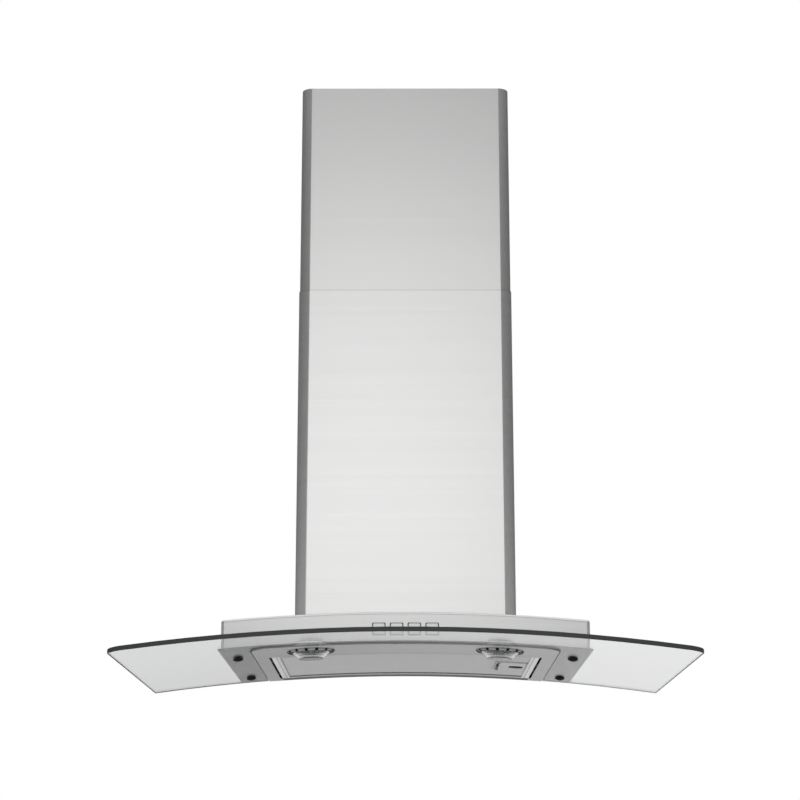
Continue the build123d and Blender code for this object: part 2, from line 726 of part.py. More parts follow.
wrapper_plane = blower_plane.offset(-scroll_half)
with BuildPart() as scroll_wrapper:
    extrude(scroll_outline(wrapper_plane, SCROLL_WALL), amount=2 * scroll_half)
    extrude(scroll_outline(wrapper_plane, 0), amount=2 * scroll_half, mode=Mode.SUBTRACT)
    split(bisect_by=Plane.XY.offset(scroll_top), keep=Keep.BOTTOM)
scroll_wrapper.part.label = "scroll_wrapper"
export_step(scroll_wrapper.part, "parts/scroll_wrapper.step")

# Side plates of the scroll, each with a lipped inlet
for side, name in ((-1, "left"), (1, "right")):
    inner_face = side * (scroll_half + SEAT_GAP)
    with BuildPart() as scroll_side:
        extrude(
            scroll_outline(blower_plane.offset(inner_face), SCROLL_WALL), amount=side * SCROLL_WALL
        )
        split(bisect_by=Plane.XY.offset(scroll_top), keep=Keep.BOTTOM)
        with BuildSketch(blower_plane.offset(inner_face)):
            Circle(INLET_RADIUS + INLET_LIP_WALL)
        extrude(amount=side * (SCROLL_WALL + INLET_LIP))
        with BuildSketch(blower_plane.offset(inner_face)):
            Circle(INLET_RADIUS)
        extrude(amount=side * (SCROLL_WALL + INLET_LIP), mode=Mode.SUBTRACT)
    scroll_side.part.label = f"scroll_side_{name}"
    export_step(scroll_side.part, f"parts/scroll_side_{name}.step")

# Blower wheel: forward-curved blades between two rings and a centre disc
blade_middle = (WHEEL_RADIUS + WHEEL_INNER_RADIUS) / 2
with BuildSketch(blower_plane.offset(-WHEEL_WIDTH / 2 + WHEEL_RING / 2)) as blades:
    with BuildLine(mode=Mode.PRIVATE) as blade_front:
        ThreePointArc(
            (WHEEL_INNER_RADIUS, 0),
            (blade_middle, -BLADE_BOW),
            (WHEEL_RADIUS - BLADE_THICKNESS, BLADE_SWEEP),
        )
    with PolarLocations(0, BLADE_COUNT):
        trace(blade_front.line, BLADE_THICKNESS)
with BuildPart() as impeller:
    extrude(blades.sketch, amount=WHEEL_WIDTH - WHEEL_RING)
    for x in (-WHEEL_WIDTH / 2, WHEEL_WIDTH / 2 - WHEEL_RING):
        with BuildSketch(blower_plane.offset(x)):
            Circle(WHEEL_RADIUS)
            Circle(WHEEL_INNER_RADIUS - BLADE_THICKNESS, mode=Mode.SUBTRACT)
        extrude(amount=WHEEL_RING)
    with BuildSketch(blower_plane.offset(-WHEEL_DISC / 2)):
        Circle(WHEEL_RADIUS)
    extrude(amount=WHEEL_DISC)
    with BuildSketch(blower_plane.offset(-HUB_INNER_LENGTH)):
        Circle(HUB_RADIUS)
    extrude(amount=HUB_INNER_LENGTH + HUB_MOTOR_LENGTH)
    with BuildSketch(blower_plane.offset(-HUB_INNER_LENGTH)):
        Circle(SHAFT_RADIUS + RUNNING_GAP / 2)
    extrude(amount=HUB_INNER_LENGTH + HUB_MOTOR_LENGTH, mode=Mode.SUBTRACT)
impeller.part.label = "impeller"
export_step(impeller.part, "parts/impeller.step")

# Motor shaft and the nut that holds the wheel on it
motor_end_x = MOTOR_START_X + MOTOR_LENGTH
shaft_start_x = -HUB_INNER_LENGTH - NUT_LENGTH - SHAFT_OVERRUN
with BuildPart() as motor_shaft:
    with BuildSketch(blower_plane.offset(shaft_start_x)):
        Circle(SHAFT_RADIUS)
    extrude(amount=motor_end_x - shaft_start_x)
    chamfer(motor_shaft.edges().group_by(Axis.X)[0], SHAFT_CHAMFER)
motor_shaft.part.label = "motor_shaft"
export_step(motor_shaft.part, "parts/motor_shaft.step")

with BuildPart() as impeller_nut:
    with BuildSketch(blower_plane.offset(-HUB_INNER_LENGTH - NUT_LENGTH - SEAT_GAP)):
        RegularPolygon(NUT_FLATS / 2, HEX_SIDES, major_radius=False)
        Circle(SHAFT_RADIUS + RUNNING_GAP / 2, mode=Mode.SUBTRACT)
    extrude(amount=NUT_LENGTH)
impeller_nut.part.label = "impeller_nut"
export_step(impeller_nut.part, "parts/impeller_nut.step")

# Motor body with cooling ribs round it, reaching into the wheel from the right
with BuildPart() as motor_body:
    with BuildSketch(blower_plane.offset(MOTOR_START_X)):
        Circle(MOTOR_RADIUS)
    extrude(amount=MOTOR_LENGTH)
    fillet(motor_body.edges().group_by(Axis.X)[0], MOTOR_ROUND)
    with BuildSketch(blower_plane.offset(MOTOR_START_X + 2 * MOTOR_ROUND)):
        with PolarLocations(MOTOR_RADIUS, MOTOR_RIB_COUNT):
            Rectangle(MOTOR_RIB_DEPTH, MOTOR_RIB_WIDTH)
    extrude(amount=MOTOR_LENGTH - 4 * MOTOR_ROUND)
    with BuildSketch(blower_plane):
        Circle(SHAFT_RADIUS + RUNNING_GAP)
    extrude(amount=2 * motor_end_x, mode=Mode.SUBTRACT)
motor_body.part.label = "motor_body"
export_step(motor_body.part, "parts/motor_body.step")

# Three-armed motor bracket on posts that stand on the right side plate
bracket_x = motor_end_x + SEAT_GAP
post_x = scroll_half + SCROLL_WALL + 2 * SEAT_GAP
with BuildPart() as motor_bracket:
    with BuildSketch(blower_plane.offset(bracket_x)):
        Circle(BRACKET_RING_RADIUS)
        with PolarLocations(POST_CIRCLE_RADIUS / 2, BRACKET_ARMS, start_angle=BRACKET_START_ANGLE):
            Rectangle(POST_CIRCLE_RADIUS, BRACKET_ARM)
        with PolarLocations(POST_CIRCLE_RADIUS, BRACKET_ARMS, start_angle=BRACKET_START_ANGLE):
            Circle(BRACKET_ARM / 2)
        Circle(BRACKET_BORE_RADIUS, mode=Mode.SUBTRACT)
    extrude(amount=BRACKET_SHEET)
    with BuildSketch(blower_plane.offset(post_x)):
        with PolarLocations(POST_CIRCLE_RADIUS, BRACKET_ARMS, start_angle=BRACKET_START_ANGLE):
            Circle(POST_RADIUS)
    extrude(amount=bracket_x - post_x)
    with BuildSketch(blower_plane.offset(post_x)):
        with PolarLocations(POST_CIRCLE_RADIUS, BRACKET_ARMS, start_angle=BRACKET_START_ANGLE):
            Circle(POST_SCREW_RADIUS + SLIDE_GAP)
    extrude(amount=2 * motor_end_x, mode=Mode.SUBTRACT)
motor_bracket.part.label = "motor_bracket"
export_step(motor_bracket.part, "parts/motor_bracket.step")

post_screw_x = bracket_x + BRACKET_SHEET + SEAT_GAP
with BuildPart() as motor_bracket_screws:
    with BuildSketch(blower_plane.offset(post_screw_x)):
        with PolarLocations(POST_CIRCLE_RADIUS, BRACKET_ARMS, start_angle=BRACKET_START_ANGLE):
            Circle(POST_SCREW_HEAD_RADIUS)
    extrude(amount=POST_SCREW_HEAD)
    with BuildSketch(blower_plane.offset(post_x)):
        with PolarLocations(POST_CIRCLE_RADIUS, BRACKET_ARMS, start_angle=BRACKET_START_ANGLE):
            Circle(POST_SCREW_RADIUS)
    extrude(amount=post_screw_x - post_x)
motor_bracket_screws.part.label = "motor_bracket_screws"
export_step(motor_bracket_screws.part, "parts/motor_bracket_screws.step")

# Run capacitor in its clip on the left wall of the enclosure
clip_back_x = -box_half + SHEET + SEAT_GAP
capacitor_x = clip_back_x + CLIP_SHEET + CAPACITOR_RADIUS + SEAT_GAP
with BuildPart() as capacitor:
    with BuildSketch(Plane.XY.offset(CAPACITOR_Z)):
        with Locations((capacitor_x, -CAPACITOR_Y)):
            Circle(CAPACITOR_RADIUS)
    extrude(amount=CAPACITOR_HEIGHT)
    fillet(capacitor.edges().filter_by(GeomType.CIRCLE), CAPACITOR_ROUND)
capacitor.part.label = "capacitor"
export_step(capacitor.part, "parts/capacitor.step")

with BuildPart() as capacitor_clip:
    with BuildSketch(Plane.XY.offset(CAPACITOR_Z + (CAPACITOR_HEIGHT - CLIP_HEIGHT) / 2)):
        with Locations((capacitor_x, -CAPACITOR_Y)):
            Circle(CAPACITOR_RADIUS + SEAT_GAP + CLIP_SHEET)
        with Locations((clip_back_x + CLIP_SHEET / 2, -CAPACITOR_Y)):
            Rectangle(CLIP_SHEET, CLIP_FOOT)
        with Locations((capacitor_x, -CAPACITOR_Y)):
            Circle(CAPACITOR_RADIUS + SEAT_GAP, mode=Mode.SUBTRACT)
    extrude(amount=CLIP_HEIGHT)
capacitor_clip.part.label = "capacitor_clip"
export_step(capacitor_clip.part, "parts/capacitor_clip.step")

# Terminal box with its lid on top of the enclosure, and the gland for the supply cable
terminal_x = -COLLAR_FLANGE / 2 - TERMINAL_COLLAR_GAP - TERMINAL_WIDTH / 2
terminal_low = BOX_HEIGHT + SEAT_GAP
terminal_high = terminal_low + TERMINAL_HEIGHT
terminal_back_y = -TERMINAL_Y + TERMINAL_LENGTH / 2
gland_z = terminal_low + TERMINAL_HEIGHT / 2
with BuildPart() as terminal_box:
    with BuildSketch(Plane.XY.offset(terminal_low)):
        with Locations((terminal_x, -TERMINAL_Y)):
            RectangleRounded(TERMINAL_WIDTH, TERMINAL_LENGTH, TERMINAL_ROUND)
    extrude(amount=TERMINAL_HEIGHT)
    offset(amount=-TERMINAL_WALL, openings=terminal_box.faces().sort_by(Axis.Z)[-1])
    with BuildSketch(Plane.XZ.offset(-terminal_back_y - 2 * TERMINAL_WALL)):
        with Locations((terminal_x, gland_z)):
            Circle(GLAND_RADIUS + SEAT_GAP)
    extrude(amount=4 * TERMINAL_WALL, mode=Mode.SUBTRACT)
terminal_box.part.label = "terminal_box"
export_step(terminal_box.part, "parts/terminal_box.step")

with BuildPart() as terminal_box_lid:
    with BuildSketch(Plane.XY.offset(terminal_high + SEAT_GAP)):
        with Locations((terminal_x, -TERMINAL_Y)):
            RectangleRounded(TERMINAL_WIDTH, TERMINAL_LENGTH, TERMINAL_ROUND)
    extrude(amount=TERMINAL_LID)
    fillet(terminal_box_lid.faces().sort_by(Axis.Z)[-1].edges(), TERMINAL_LID_ROUND)
terminal_box_lid.part.label = "terminal_box_lid"
export_step(terminal_box_lid.part, "parts/terminal_box_lid.step")

gland_plane = Plane(
    origin=(terminal_x, terminal_back_y + SEAT_GAP, gland_z), x_dir=(1, 0, 0), z_dir=(0, 1, 0)
)
with BuildPart() as cable_gland:
    with BuildSketch(gland_plane):
        RegularPolygon(GLAND_FLATS / 2, HEX_SIDES, major_radius=False)
    extrude(amount=GLAND_HEX)
    with BuildSketch(gland_plane.offset(GLAND_HEX)):
        Circle(GLAND_NOSE_RADIUS)
    extrude(amount=GLAND_NOSE, taper=GLAND_TAPER)
    with BuildSketch(gland_plane):
        Circle(GLAND_RADIUS)
    extrude(amount=-GLAND_INNER)
    with BuildSketch(gland_plane.offset(-GLAND_INNER)):
        Circle(GLAND_BORE_RADIUS)
    extrude(amount=GLAND_INNER + GLAND_HEX + GLAND_NOSE, mode=Mode.SUBTRACT)
cable_gland.part.label = "cable_gland"
export_step(cable_gland.part, "parts/cable_gland.step")

# Duct collar with a square flange, damper bosses and the ledge that the flaps rest on
collar_low = BOX_HEIGHT + SEAT_GAP
collar_bore = COLLAR_RADIUS - COLLAR_WALL
spigot_low = collar_low + COLLAR_FLANGE_THICKNESS
pin_z = spigot_low + DAMPER_PIN_HEIGHT
pin_half = collar_bore - SEAT_GAP
ledge_top = pin_z - FLAP_THICKNESS / 2 - SLIDE_GAP
pin_plane = Plane(origin=(0, -collar_y, pin_z), x_dir=(1, 0, 0), z_dir=(0, -1, 0))
with BuildPart() as outlet_collar:
    with BuildSketch(Plane.XY.offset(collar_low)):
        with Locations((0, -collar_y)):
            RectangleRounded(COLLAR_FLANGE, COLLAR_FLANGE, COLLAR_FLANGE_ROUND)
            Circle(collar_bore, mode=Mode.SUBTRACT)
            with GridLocations(COLLAR_SCREW_SPACING, COLLAR_SCREW_SPACING, 2, 2):
                Circle(COVER_SCREW_RADIUS + SLIDE_GAP, mode=Mode.SUBTRACT)
    extrude(amount=COLLAR_FLANGE_THICKNESS)
    with BuildSketch(Plane.XY.offset(spigot_low)):
        with Locations((0, -collar_y)):
            Circle(COLLAR_RADIUS)
            Circle(collar_bore, mode=Mode.SUBTRACT)
    extrude(amount=COLLAR_HEIGHT)
    with BuildSketch(Plane.XY.offset(ledge_top)):
        with Locations((0, -collar_y)):
            Circle(COLLAR_RADIUS - COLLAR_WALL / 2)
            Circle(collar_bore - DAMPER_LEDGE, mode=Mode.SUBTRACT)
    extrude(amount=-DAMPER_LEDGE_HEIGHT)
    for side in (-1, 1):
        with BuildSketch(pin_plane.offset(side * (COLLAR_RADIUS - COLLAR_WALL / 2))):
            Circle(DAMPER_BOSS_RADIUS)
        extrude(amount=-side * DAMPER_BOSS_LENGTH)
    with BuildSketch(pin_plane.offset(-pin_half)):
        Circle(DAMPER_PIN_RADIUS + RUNNING_GAP)
    extrude(amount=2 * pin_half, mode=Mode.SUBTRACT)
outlet_collar.part.label = "outlet_collar"
export_step(outlet_collar.part, "parts/outlet_collar.step")

with BuildPart() as outlet_collar_screws:
    with BuildSketch(Plane.XY.offset(spigot_low + SEAT_GAP)):
        with Locations((0, -collar_y)):
            with GridLocations(COLLAR_SCREW_SPACING, COLLAR_SCREW_SPACING, 2, 2):
                Circle(COVER_SCREW_HEAD_RADIUS)
    extrude(amount=COVER_SCREW_HEAD)
    with BuildSketch(Plane.XY.offset(spigot_low + SEAT_GAP)):
        with Locations((0, -collar_y)):
            with GridLocations(COLLAR_SCREW_SPACING, COLLAR_SCREW_SPACING, 2, 2):
                Circle(COVER_SCREW_RADIUS)
    extrude(amount=-COVER_SCREW_LENGTH)
outlet_collar_screws.part.label = "outlet_collar_screws"
export_step(outlet_collar_screws.part, "parts/outlet_collar_screws.step")

with BuildPart() as damper_pin:
    with BuildSketch(pin_plane.offset(-pin_half + SEAT_GAP)):
        Circle(DAMPER_PIN_RADIUS)
    extrude(amount=2 * (pin_half - SEAT_GAP))
damper_pin.part.label = "damper_pin"
export_step(damper_pin.part, "parts/damper_pin.step")

# Backdraught flaps: half discs whose knuckles share the pin turn about
flap_radius = collar_bore - FLAP_RIM_GAP
flap_edge = KNUCKLE_RADIUS + FLAP_HINGE_GAP
boss_edge = DAMPER_BOSS_RADIUS + 2 * FLAP_HINGE_GAP
boss_reach = collar_bore - DAMPER_BOSS_LENGTH - 2 * FLAP_HINGE_GAP
for side, name, first in ((-1, "left", 0), (1, "right", 1)):
    places = range(first, KNUCKLE_COUNT, 2)
    knuckles = [KNUCKLE_PITCH * (i - (KNUCKLE_COUNT - 1) / 2) for i in places]
    with BuildPart() as damper_flap:
        with BuildSketch(Plane.XY.offset(pin_z - FLAP_THICKNESS / 2)):
            with Locations((0, -collar_y)):
                Circle(flap_radius)
                with Locations((side * (flap_edge - flap_radius), 0)):
                    Rectangle(2 * flap_radius, 2 * flap_radius, mode=Mode.SUBTRACT)
                with Locations((0, flap_radius), (0, -flap_radius)):
                    Rectangle(2 * boss_edge, 2 * (flap_radius - boss_reach), mode=Mode.SUBTRACT)
                with Locations(*[(side * flap_edge / 2, -y) for y in knuckles]):
                    Rectangle(flap_edge + KNUCKLE_RADIUS, KNUCKLE_LENGTH)
        extrude(amount=FLAP_THICKNESS)
        for y in knuckles:
            with BuildSketch(pin_plane.offset(y - KNUCKLE_LENGTH / 2)):
                Circle(KNUCKLE_RADIUS)
            extrude(amount=KNUCKLE_LENGTH)
        with BuildSketch(pin_plane.offset(-pin_half)):
            Circle(DAMPER_PIN_RADIUS + RUNNING_GAP)
        extrude(amount=2 * pin_half, mode=Mode.SUBTRACT)
    damper_flap.part.label = f"damper_flap_{name}"
    export_step(damper_flap.part, f"parts/damper_flap_{name}.step")

# Chimney covers: U-shaped sheets with rounded front corners and short returns at the wall
upper_inset = CHIMNEY_SHEET + SLIDE_GAP


# Plan section of a cover that stands inside the chimney's outer size by an inset
def cover_section(plane, inset):
    half = CHIMNEY_WIDTH / 2 - inset
    front = CHIMNEY_DEPTH - inset
    radius = CHIMNEY_CORNER_RADIUS - inset
    with BuildSketch(plane) as section:
        add(plan_outline(half, front, inset, radius))
        add(
            plan_outline(
                half - CHIMNEY_SHEET,
                front - CHIMNEY_SHEET,
                inset + CHIMNEY_SHEET,
                radius - CHIMNEY_SHEET,
            ),
            mode=Mode.SUBTRACT,
        )
        with Locations((0, -inset)):
            Rectangle(2 * (half - CHIMNEY_RETURN), 4 * CHIMNEY_SHEET, mode=Mode.SUBTRACT)
    return section.sketch


tab_screw_plane = Plane(
    origin=(CHIMNEY_WIDTH / 2 + SEAT_GAP, -TAB_Y, TAB_SCREW_Z), x_dir=(0, 1, 0), z_dir=(1, 0, 0)
)
cover_screw_z = UPPER_COVER_TOP - WALL_STRIP_DROP - WALL_STRIP_HEIGHT / 2
upper_half = CHIMNEY_WIDTH / 2 - upper_inset
cover_screw_plane = Plane(
    origin=(upper_half + SEAT_GAP, -COVER_SCREW_Y, cover_screw_z), x_dir=(0, 1, 0), z_dir=(1, 0, 0)
)
below_cover = arched_slab(shell_half, SHELL_FRONT_Y, -GLASS_DEPTH, 0, -SHELL_HEIGHT, SHELL_TOP + SLIDE_GAP)
with BuildPart() as lower_chimney_cover:
    extrude(cover_section(Plane.XY, 0), amount=LOWER_COVER_TOP)
    extrude(cover_section(Plane.XY, 0), amount=-SHELL_HEIGHT)
    add(below_cover, mode=Mode.SUBTRACT)
    with BuildSketch(tab_screw_plane.offset(-CUT_REACH)):
        Circle(COVER_SCREW_RADIUS + SLIDE_GAP)
    extrude(amount=2 * CUT_REACH, mode=Mode.SUBTRACT)
lower_chimney_cover.part.label = "lower_chimney_cover"
export_step(lower_chimney_cover.part, "parts/lower_chimney_cover.step")

upper_length = UPPER_COVER_TOP - LOWER_COVER_TOP + COVER_OVERLAP
vent_z = UPPER_COVER_TOP - VENT_DROP - VENT_PITCH * (VENT_COUNT - 1) / 2
vent_plane = Plane(origin=(-CHIMNEY_WIDTH, -CHIMNEY_DEPTH / 2, vent_z), x_dir=(0, 1, 0), z_dir=(1, 0, 0))
with BuildPart() as upper_chimney_cover:
    extrude(cover_section(Plane.XY, upper_inset), amount=UPPER_COVER_TOP)
    split(bisect_by=Plane.XY.offset(UPPER_COVER_TOP - upper_length), keep=Keep.TOP)
    with BuildSketch(vent_plane):
        with GridLocations(VENT_LENGTH, VENT_PITCH, 1, VENT_COUNT):
            SlotOverall(VENT_LENGTH, VENT_HEIGHT)
    extrude(amount=2 * CHIMNEY_WIDTH, mode=Mode.SUBTRACT)
    with BuildSketch(cover_screw_plane.offset(-CUT_REACH)):
        Circle(COVER_SCREW_RADIUS + SLIDE_GAP)
    extrude(amount=2 * CUT_REACH, mode=Mode.SUBTRACT)
upper_chimney_cover.part.label = "upper_chimney_cover"
export_step(upper_chimney_cover.part, "parts/upper_chimney_cover.step")

# Wall strip that the upper cover is screwed to, with its stepped ears
strip_low = UPPER_COVER_TOP - WALL_STRIP_DROP - WALL_STRIP_HEIGHT
ear_x = upper_half - CHIMNEY_SHEET - SLIDE_GAP
strip_path = [
    (-ear_x, -STRIP_STEP - STRIP_EAR),
    (-ear_x, -STRIP_STEP),
    (-WALL_STRIP_HALF, -STRIP_STEP),
    (-WALL_STRIP_HALF, 0),
    (WALL_STRIP_HALF, 0),
    (WALL_STRIP_HALF, -STRIP_STEP),
    (ear_x, -STRIP_STEP),
    (ear_x, -STRIP_STEP - STRIP_EAR),
]
with BuildPart() as upper_wall_bracket:
    extrude(
        bent_strip(Plane.XY.offset(strip_low), strip_path, WALL_STRIP, Side.RIGHT),
        amount=WALL_STRIP_HEIGHT,
    )
    with BuildSketch(Plane.XZ):
        with Locations((0, cover_screw_z)):
            with GridLocations(STRIP_HOLE_SPACING, WALL_STRIP_HEIGHT, 2, 1):
                Circle(STRIP_HOLE_RADIUS)
    extrude(amount=2 * WALL_STRIP, mode=Mode.SUBTRACT)
    with BuildSketch(cover_screw_plane.offset(-CUT_REACH)):
        Circle(COVER_SCREW_RADIUS + SLIDE_GAP)
    extrude(amount=2 * CUT_REACH, mode=Mode.SUBTRACT)
upper_wall_bracket.part.label = "upper_wall_bracket"
export_step(upper_wall_bracket.part, "parts/upper_wall_bracket.step")

with BuildPart() as upper_chimney_screws:
    add(
        pan_screw(
            cover_screw_plane,
            COVER_SCREW_HEAD_RADIUS,
            COVER_SCREW_HEAD,
            COVER_SCREW_RADIUS,
            COVER_SCREW_LENGTH,
        )
    )
    mirror(about=Plane.YZ)
upper_chimney_screws.part.label = "upper_chimney_screws"
export_step(upper_chimney_screws.part, "parts/upper_chimney_screws.step")

# Tabs on the housing that hold the foot of the lower cover, and their screws
tab_x = CHIMNEY_WIDTH / 2 - CHIMNEY_SHEET - SLIDE_GAP
tab_low = SHELL_TOP + SEAT_GAP
tab_foot = arched_slab(tab_x, TAB_Y + TAB_WIDTH / 2, TAB_Y - TAB_WIDTH / 2, 0, tab_low, tab_low + TAB_SHEET)
below_tab = arched_slab(shell_half, SHELL_FRONT_Y, -GLASS_DEPTH, 0, -SHELL_HEIGHT, tab_low)
with BuildPart() as lower_chimney_tabs:
    with BuildSketch(Plane.XY.offset(TAB_HEIGHT)):
        with Locations((tab_x - TAB_SHEET / 2, -TAB_Y), (TAB_SHEET / 2 - tab_x, -TAB_Y)):
            Rectangle(TAB_SHEET, TAB_WIDTH)
    extrude(amount=-TAB_HEIGHT - SHELL_HEIGHT)
    add(below_tab, mode=Mode.SUBTRACT)
    add(tab_foot)
    with BuildSketch(Plane.XY.offset(-SHELL_HEIGHT)):
        with Locations((0, -TAB_Y)):
            Rectangle(2 * (tab_x - TAB_FOOT), 2 * TAB_WIDTH)
    extrude(amount=2 * SHELL_HEIGHT, mode=Mode.SUBTRACT)
    with BuildSketch(tab_screw_plane.offset(-CUT_REACH)):
        Circle(COVER_SCREW_RADIUS + SLIDE_GAP)
    extrude(amount=2 * CUT_REACH, mode=Mode.SUBTRACT)
lower_chimney_tabs.part.label = "lower_chimney_tabs"
export_step(lower_chimney_tabs.part, "parts/lower_chimney_tabs.step")

with BuildPart() as lower_chimney_screws:
    add(
        pan_screw(
            tab_screw_plane,
            COVER_SCREW_HEAD_RADIUS,
            COVER_SCREW_HEAD,
            COVER_SCREW_RADIUS,
            COVER_SCREW_LENGTH,
        )
    )
    mirror(about=Plane.YZ)
lower_chimney_screws.part.label = "lower_chimney_screws"
export_step(lower_chimney_screws.part, "parts/lower_chimney_screws.step")

# Grease filter: channel frame with hooks on the left, face mesh and mesh pack
filter_half = FILTER_WIDTH / 2
filter_mid = (FILTER_FRONT_Y + FILTER_REAR_Y) / 2
filter_low = pan_bottom
filter_high = filter_low + FILTER_HEIGHT
latch_right = filter_half - FILTER_RAIL - LATCH_RAIL_GAP
latch_left = latch_right - LATCH_WIDTH
latch_front = filter_mid + LATCH_LENGTH / 2
latch_back = filter_mid - LATCH_LENGTH / 2
plate_low = filter_low + LATCH_PLATE_RECESS
plate_high = plate_low + LATCH_PLATE
tongue_low = plate_high + SEAT_GAP
tongue_high = tongue_low + TONGUE_THICKNESS
tongue_end = opening_half + TONGUE_OVERLAP
TONGUE_PLACES = [filter_mid - TONGUE_SPACING / 2, filter_mid + TONGUE_SPACING / 2]
HOOK_PLACES = [filter_mid - HOOK_SPACING / 2, filter_mid + HOOK_SPACING / 2]
hook_low = pan_floor + SLIDE_GAP
hook_reach = opening_half + HOOK_REACH
slot_half = TONGUE_WIDTH / 2 + TONGUE_SLOT_GAP
tongue_slots = [
    arched_patch(
        latch_right - 2 * SHEET,
        filter_half + FILTER_WALL,
        y + slot_half,
        y - slot_half,
        tongue_low - TONGUE_SLOT_GAP / 2,
        tongue_high + TONGUE_SLOT_GAP,
    )
    for y in TONGUE_PLACES
]
frame_slab = arched_slab(filter_half, FILTER_FRONT_Y, FILTER_REAR_Y, 0, filter_low, filter_high)
frame_groove = arched_slab(
    filter_half - FILTER_WALL,
    FILTER_FRONT_Y - FILTER_WALL,
    FILTER_REAR_Y + FILTER_WALL,
    0,
    filter_low + FILTER_LIP,
    filter_high - FILTER_LIP,
)
frame_window = arched_slab(
    filter_half - FILTER_RAIL,
    FILTER_FRONT_Y - FILTER_RAIL,
    FILTER_REAR_Y + FILTER_RAIL,
    0,
    filter_low - FILTER_LIP,
    filter_high + FILTER_LIP,
)
frame_hooks = [
    arched_patch(
        -hook_reach,
        FILTER_WALL - filter_half,
        y + HOOK_WIDTH / 2,
        y - HOOK_WIDTH / 2,
        hook_low,
        hook_low + HOOK_THICKNESS,
    )
    for y in HOOK_PLACES
]
with BuildPart() as filter_frame:
    add(frame_slab)
    fillet(filter_frame.edges().filter_by(Axis.Z), FILTER_CORNER_RADIUS)
    add(frame_groove, mode=Mode.SUBTRACT)
    add(frame_window, mode=Mode.SUBTRACT)
    add(frame_hooks)
    add(tongue_slots, mode=Mode.SUBTRACT)
filter_frame.part.label = "filter_frame"
export_step(filter_frame.part, "parts/filter_frame.step")

mesh_half = filter_half - FILTER_WALL - MESH_GAP
mesh_front = FILTER_FRONT_Y - FILTER_WALL - MESH_GAP
mesh_rear = FILTER_REAR_Y + FILTER_WALL + MESH_GAP
face_low = filter_low + FILTER_LIP + MESH_GAP
face_high = face_low + FACE_MESH
pack_low = face_high + MESH_GAP
pack_high = filter_high - FILTER_LIP - MESH_GAP
latch_space = arched_patch(
    latch_left - LATCH_MESH_GAP,
    filter_half,
    latch_front + LATCH_MESH_GAP,
    latch_back - LATCH_MESH_GAP,
    filter_low,
    filter_high,
)
with BuildPart() as filter_face_mesh:
    add(arched_slab(mesh_half, mesh_front, mesh_rear, 0, face_low, face_high))
    add(latch_space, mode=Mode.SUBTRACT)
filter_face_mesh.part.label = "filter_face_mesh"
export_step(filter_face_mesh.part, "parts/filter_face_mesh.step")

with BuildPart() as filter_mesh_pack:
    add(arched_slab(mesh_half, mesh_front, mesh_rear, 0, pack_low, pack_high))
    add(latch_space, mode=Mode.SUBTRACT)
filter_mesh_pack.part.label = "filter_mesh_pack"
export_step(filter_mesh_pack.part, "parts/filter_mesh_pack.step")

# Latch of the filter: cup, sliding plate with its finger hole, forked tongue and bowed leaf spring
cup_inner_radius = LATCH_CORNER_RADIUS - SHEET
with BuildPart() as latch_cup:
    add(
        arched_patch(
            latch_left, latch_right, latch_front, latch_back, plate_low, pack_high, LATCH_CORNER_RADIUS
        )
    )
    add(
        arched_patch(
            latch_left + SHEET,
            latch_right - SHEET,
            latch_front - SHEET,
            latch_back + SHEET,
            plate_low - SHEET,
            pack_high - SHEET,
            cup_inner_radius,
        ),
        mode=Mode.SUBTRACT,
    )
    add(tongue_slots, mode=Mode.SUBTRACT)
latch_cup.part.label = "latch_cup"
export_step(latch_cup.part, "parts/latch_cup.step")

plate_left = latch_left + SHEET + SLIDE_GAP + LATCH_TRAVEL
plate_right = latch_right - SHEET - SLIDE_GAP
finger_x = plate_right - FINGER_HOLE_EDGE - FINGER_HOLE_X / 2
with BuildPart() as latch_slide:
    add(
        arched_patch(
            plate_left,
            plate_right,
            latch_front - SHEET - SLIDE_GAP,
            latch_back + SHEET + SLIDE_GAP,
            plate_low,
            plate_high,
            cup_inner_radius,
        )
    )
    with BuildSketch(Plane.XY):
        with Locations((finger_x, -filter_mid)):
            RectangleRounded(FINGER_HOLE_X, FINGER_HOLE_Y, FINGER_HOLE_RADIUS)
    extrude(amount=CUT_REACH, both=True, mode=Mode.SUBTRACT)
latch_slide.part.label = "latch_slide"
export_step(latch_slide.part, "parts/latch_slide.step")

fork_left = plate_left + TONGUE_THICKNESS
fork_half = (TONGUE_SPACING + TONGUE_WIDTH) / 2
with BuildPart() as latch_tongue:
    add(
        arched_patch(
            fork_left,
            fork_left + TONGUE_BASE,
            filter_mid + fork_half,
            filter_mid - fork_half,
            tongue_low,
            tongue_high,
        )
    )
    for y in TONGUE_PLACES:
        add(
            arched_patch(
                fork_left,
                tongue_end,
                y + TONGUE_WIDTH / 2,
                y - TONGUE_WIDTH / 2,
                tongue_low,
                tongue_high,
            )
        )
latch_tongue.part.label = "latch_tongue"
export_step(latch_tongue.part, "parts/latch_tongue.step")

spring_foot_x = latch_left + SHEET + SEAT_GAP + SPRING_LEAF / 2
spring_crown_x = fork_left - SEAT_GAP - SPRING_LEAF / 2
spring_low = arch_z(latch_left, plate_high) + SEAT_GAP
with BuildPart() as latch_spring:
    with BuildSketch(Plane.XY.offset(spring_low)):
        with BuildLine(mode=Mode.PRIVATE) as spring_bow:
            ThreePointArc(
                (spring_foot_x, -filter_mid - SPRING_LENGTH / 2),
                (spring_crown_x, -filter_mid),
                (spring_foot_x, -filter_mid + SPRING_LENGTH / 2),
            )
        trace(spring_bow.line, SPRING_LEAF)
    extrude(amount=SPRING_HEIGHT)
latch_spring.part.label = "latch_spring"
export_step(latch_spring.part, "parts/latch_spring.step")

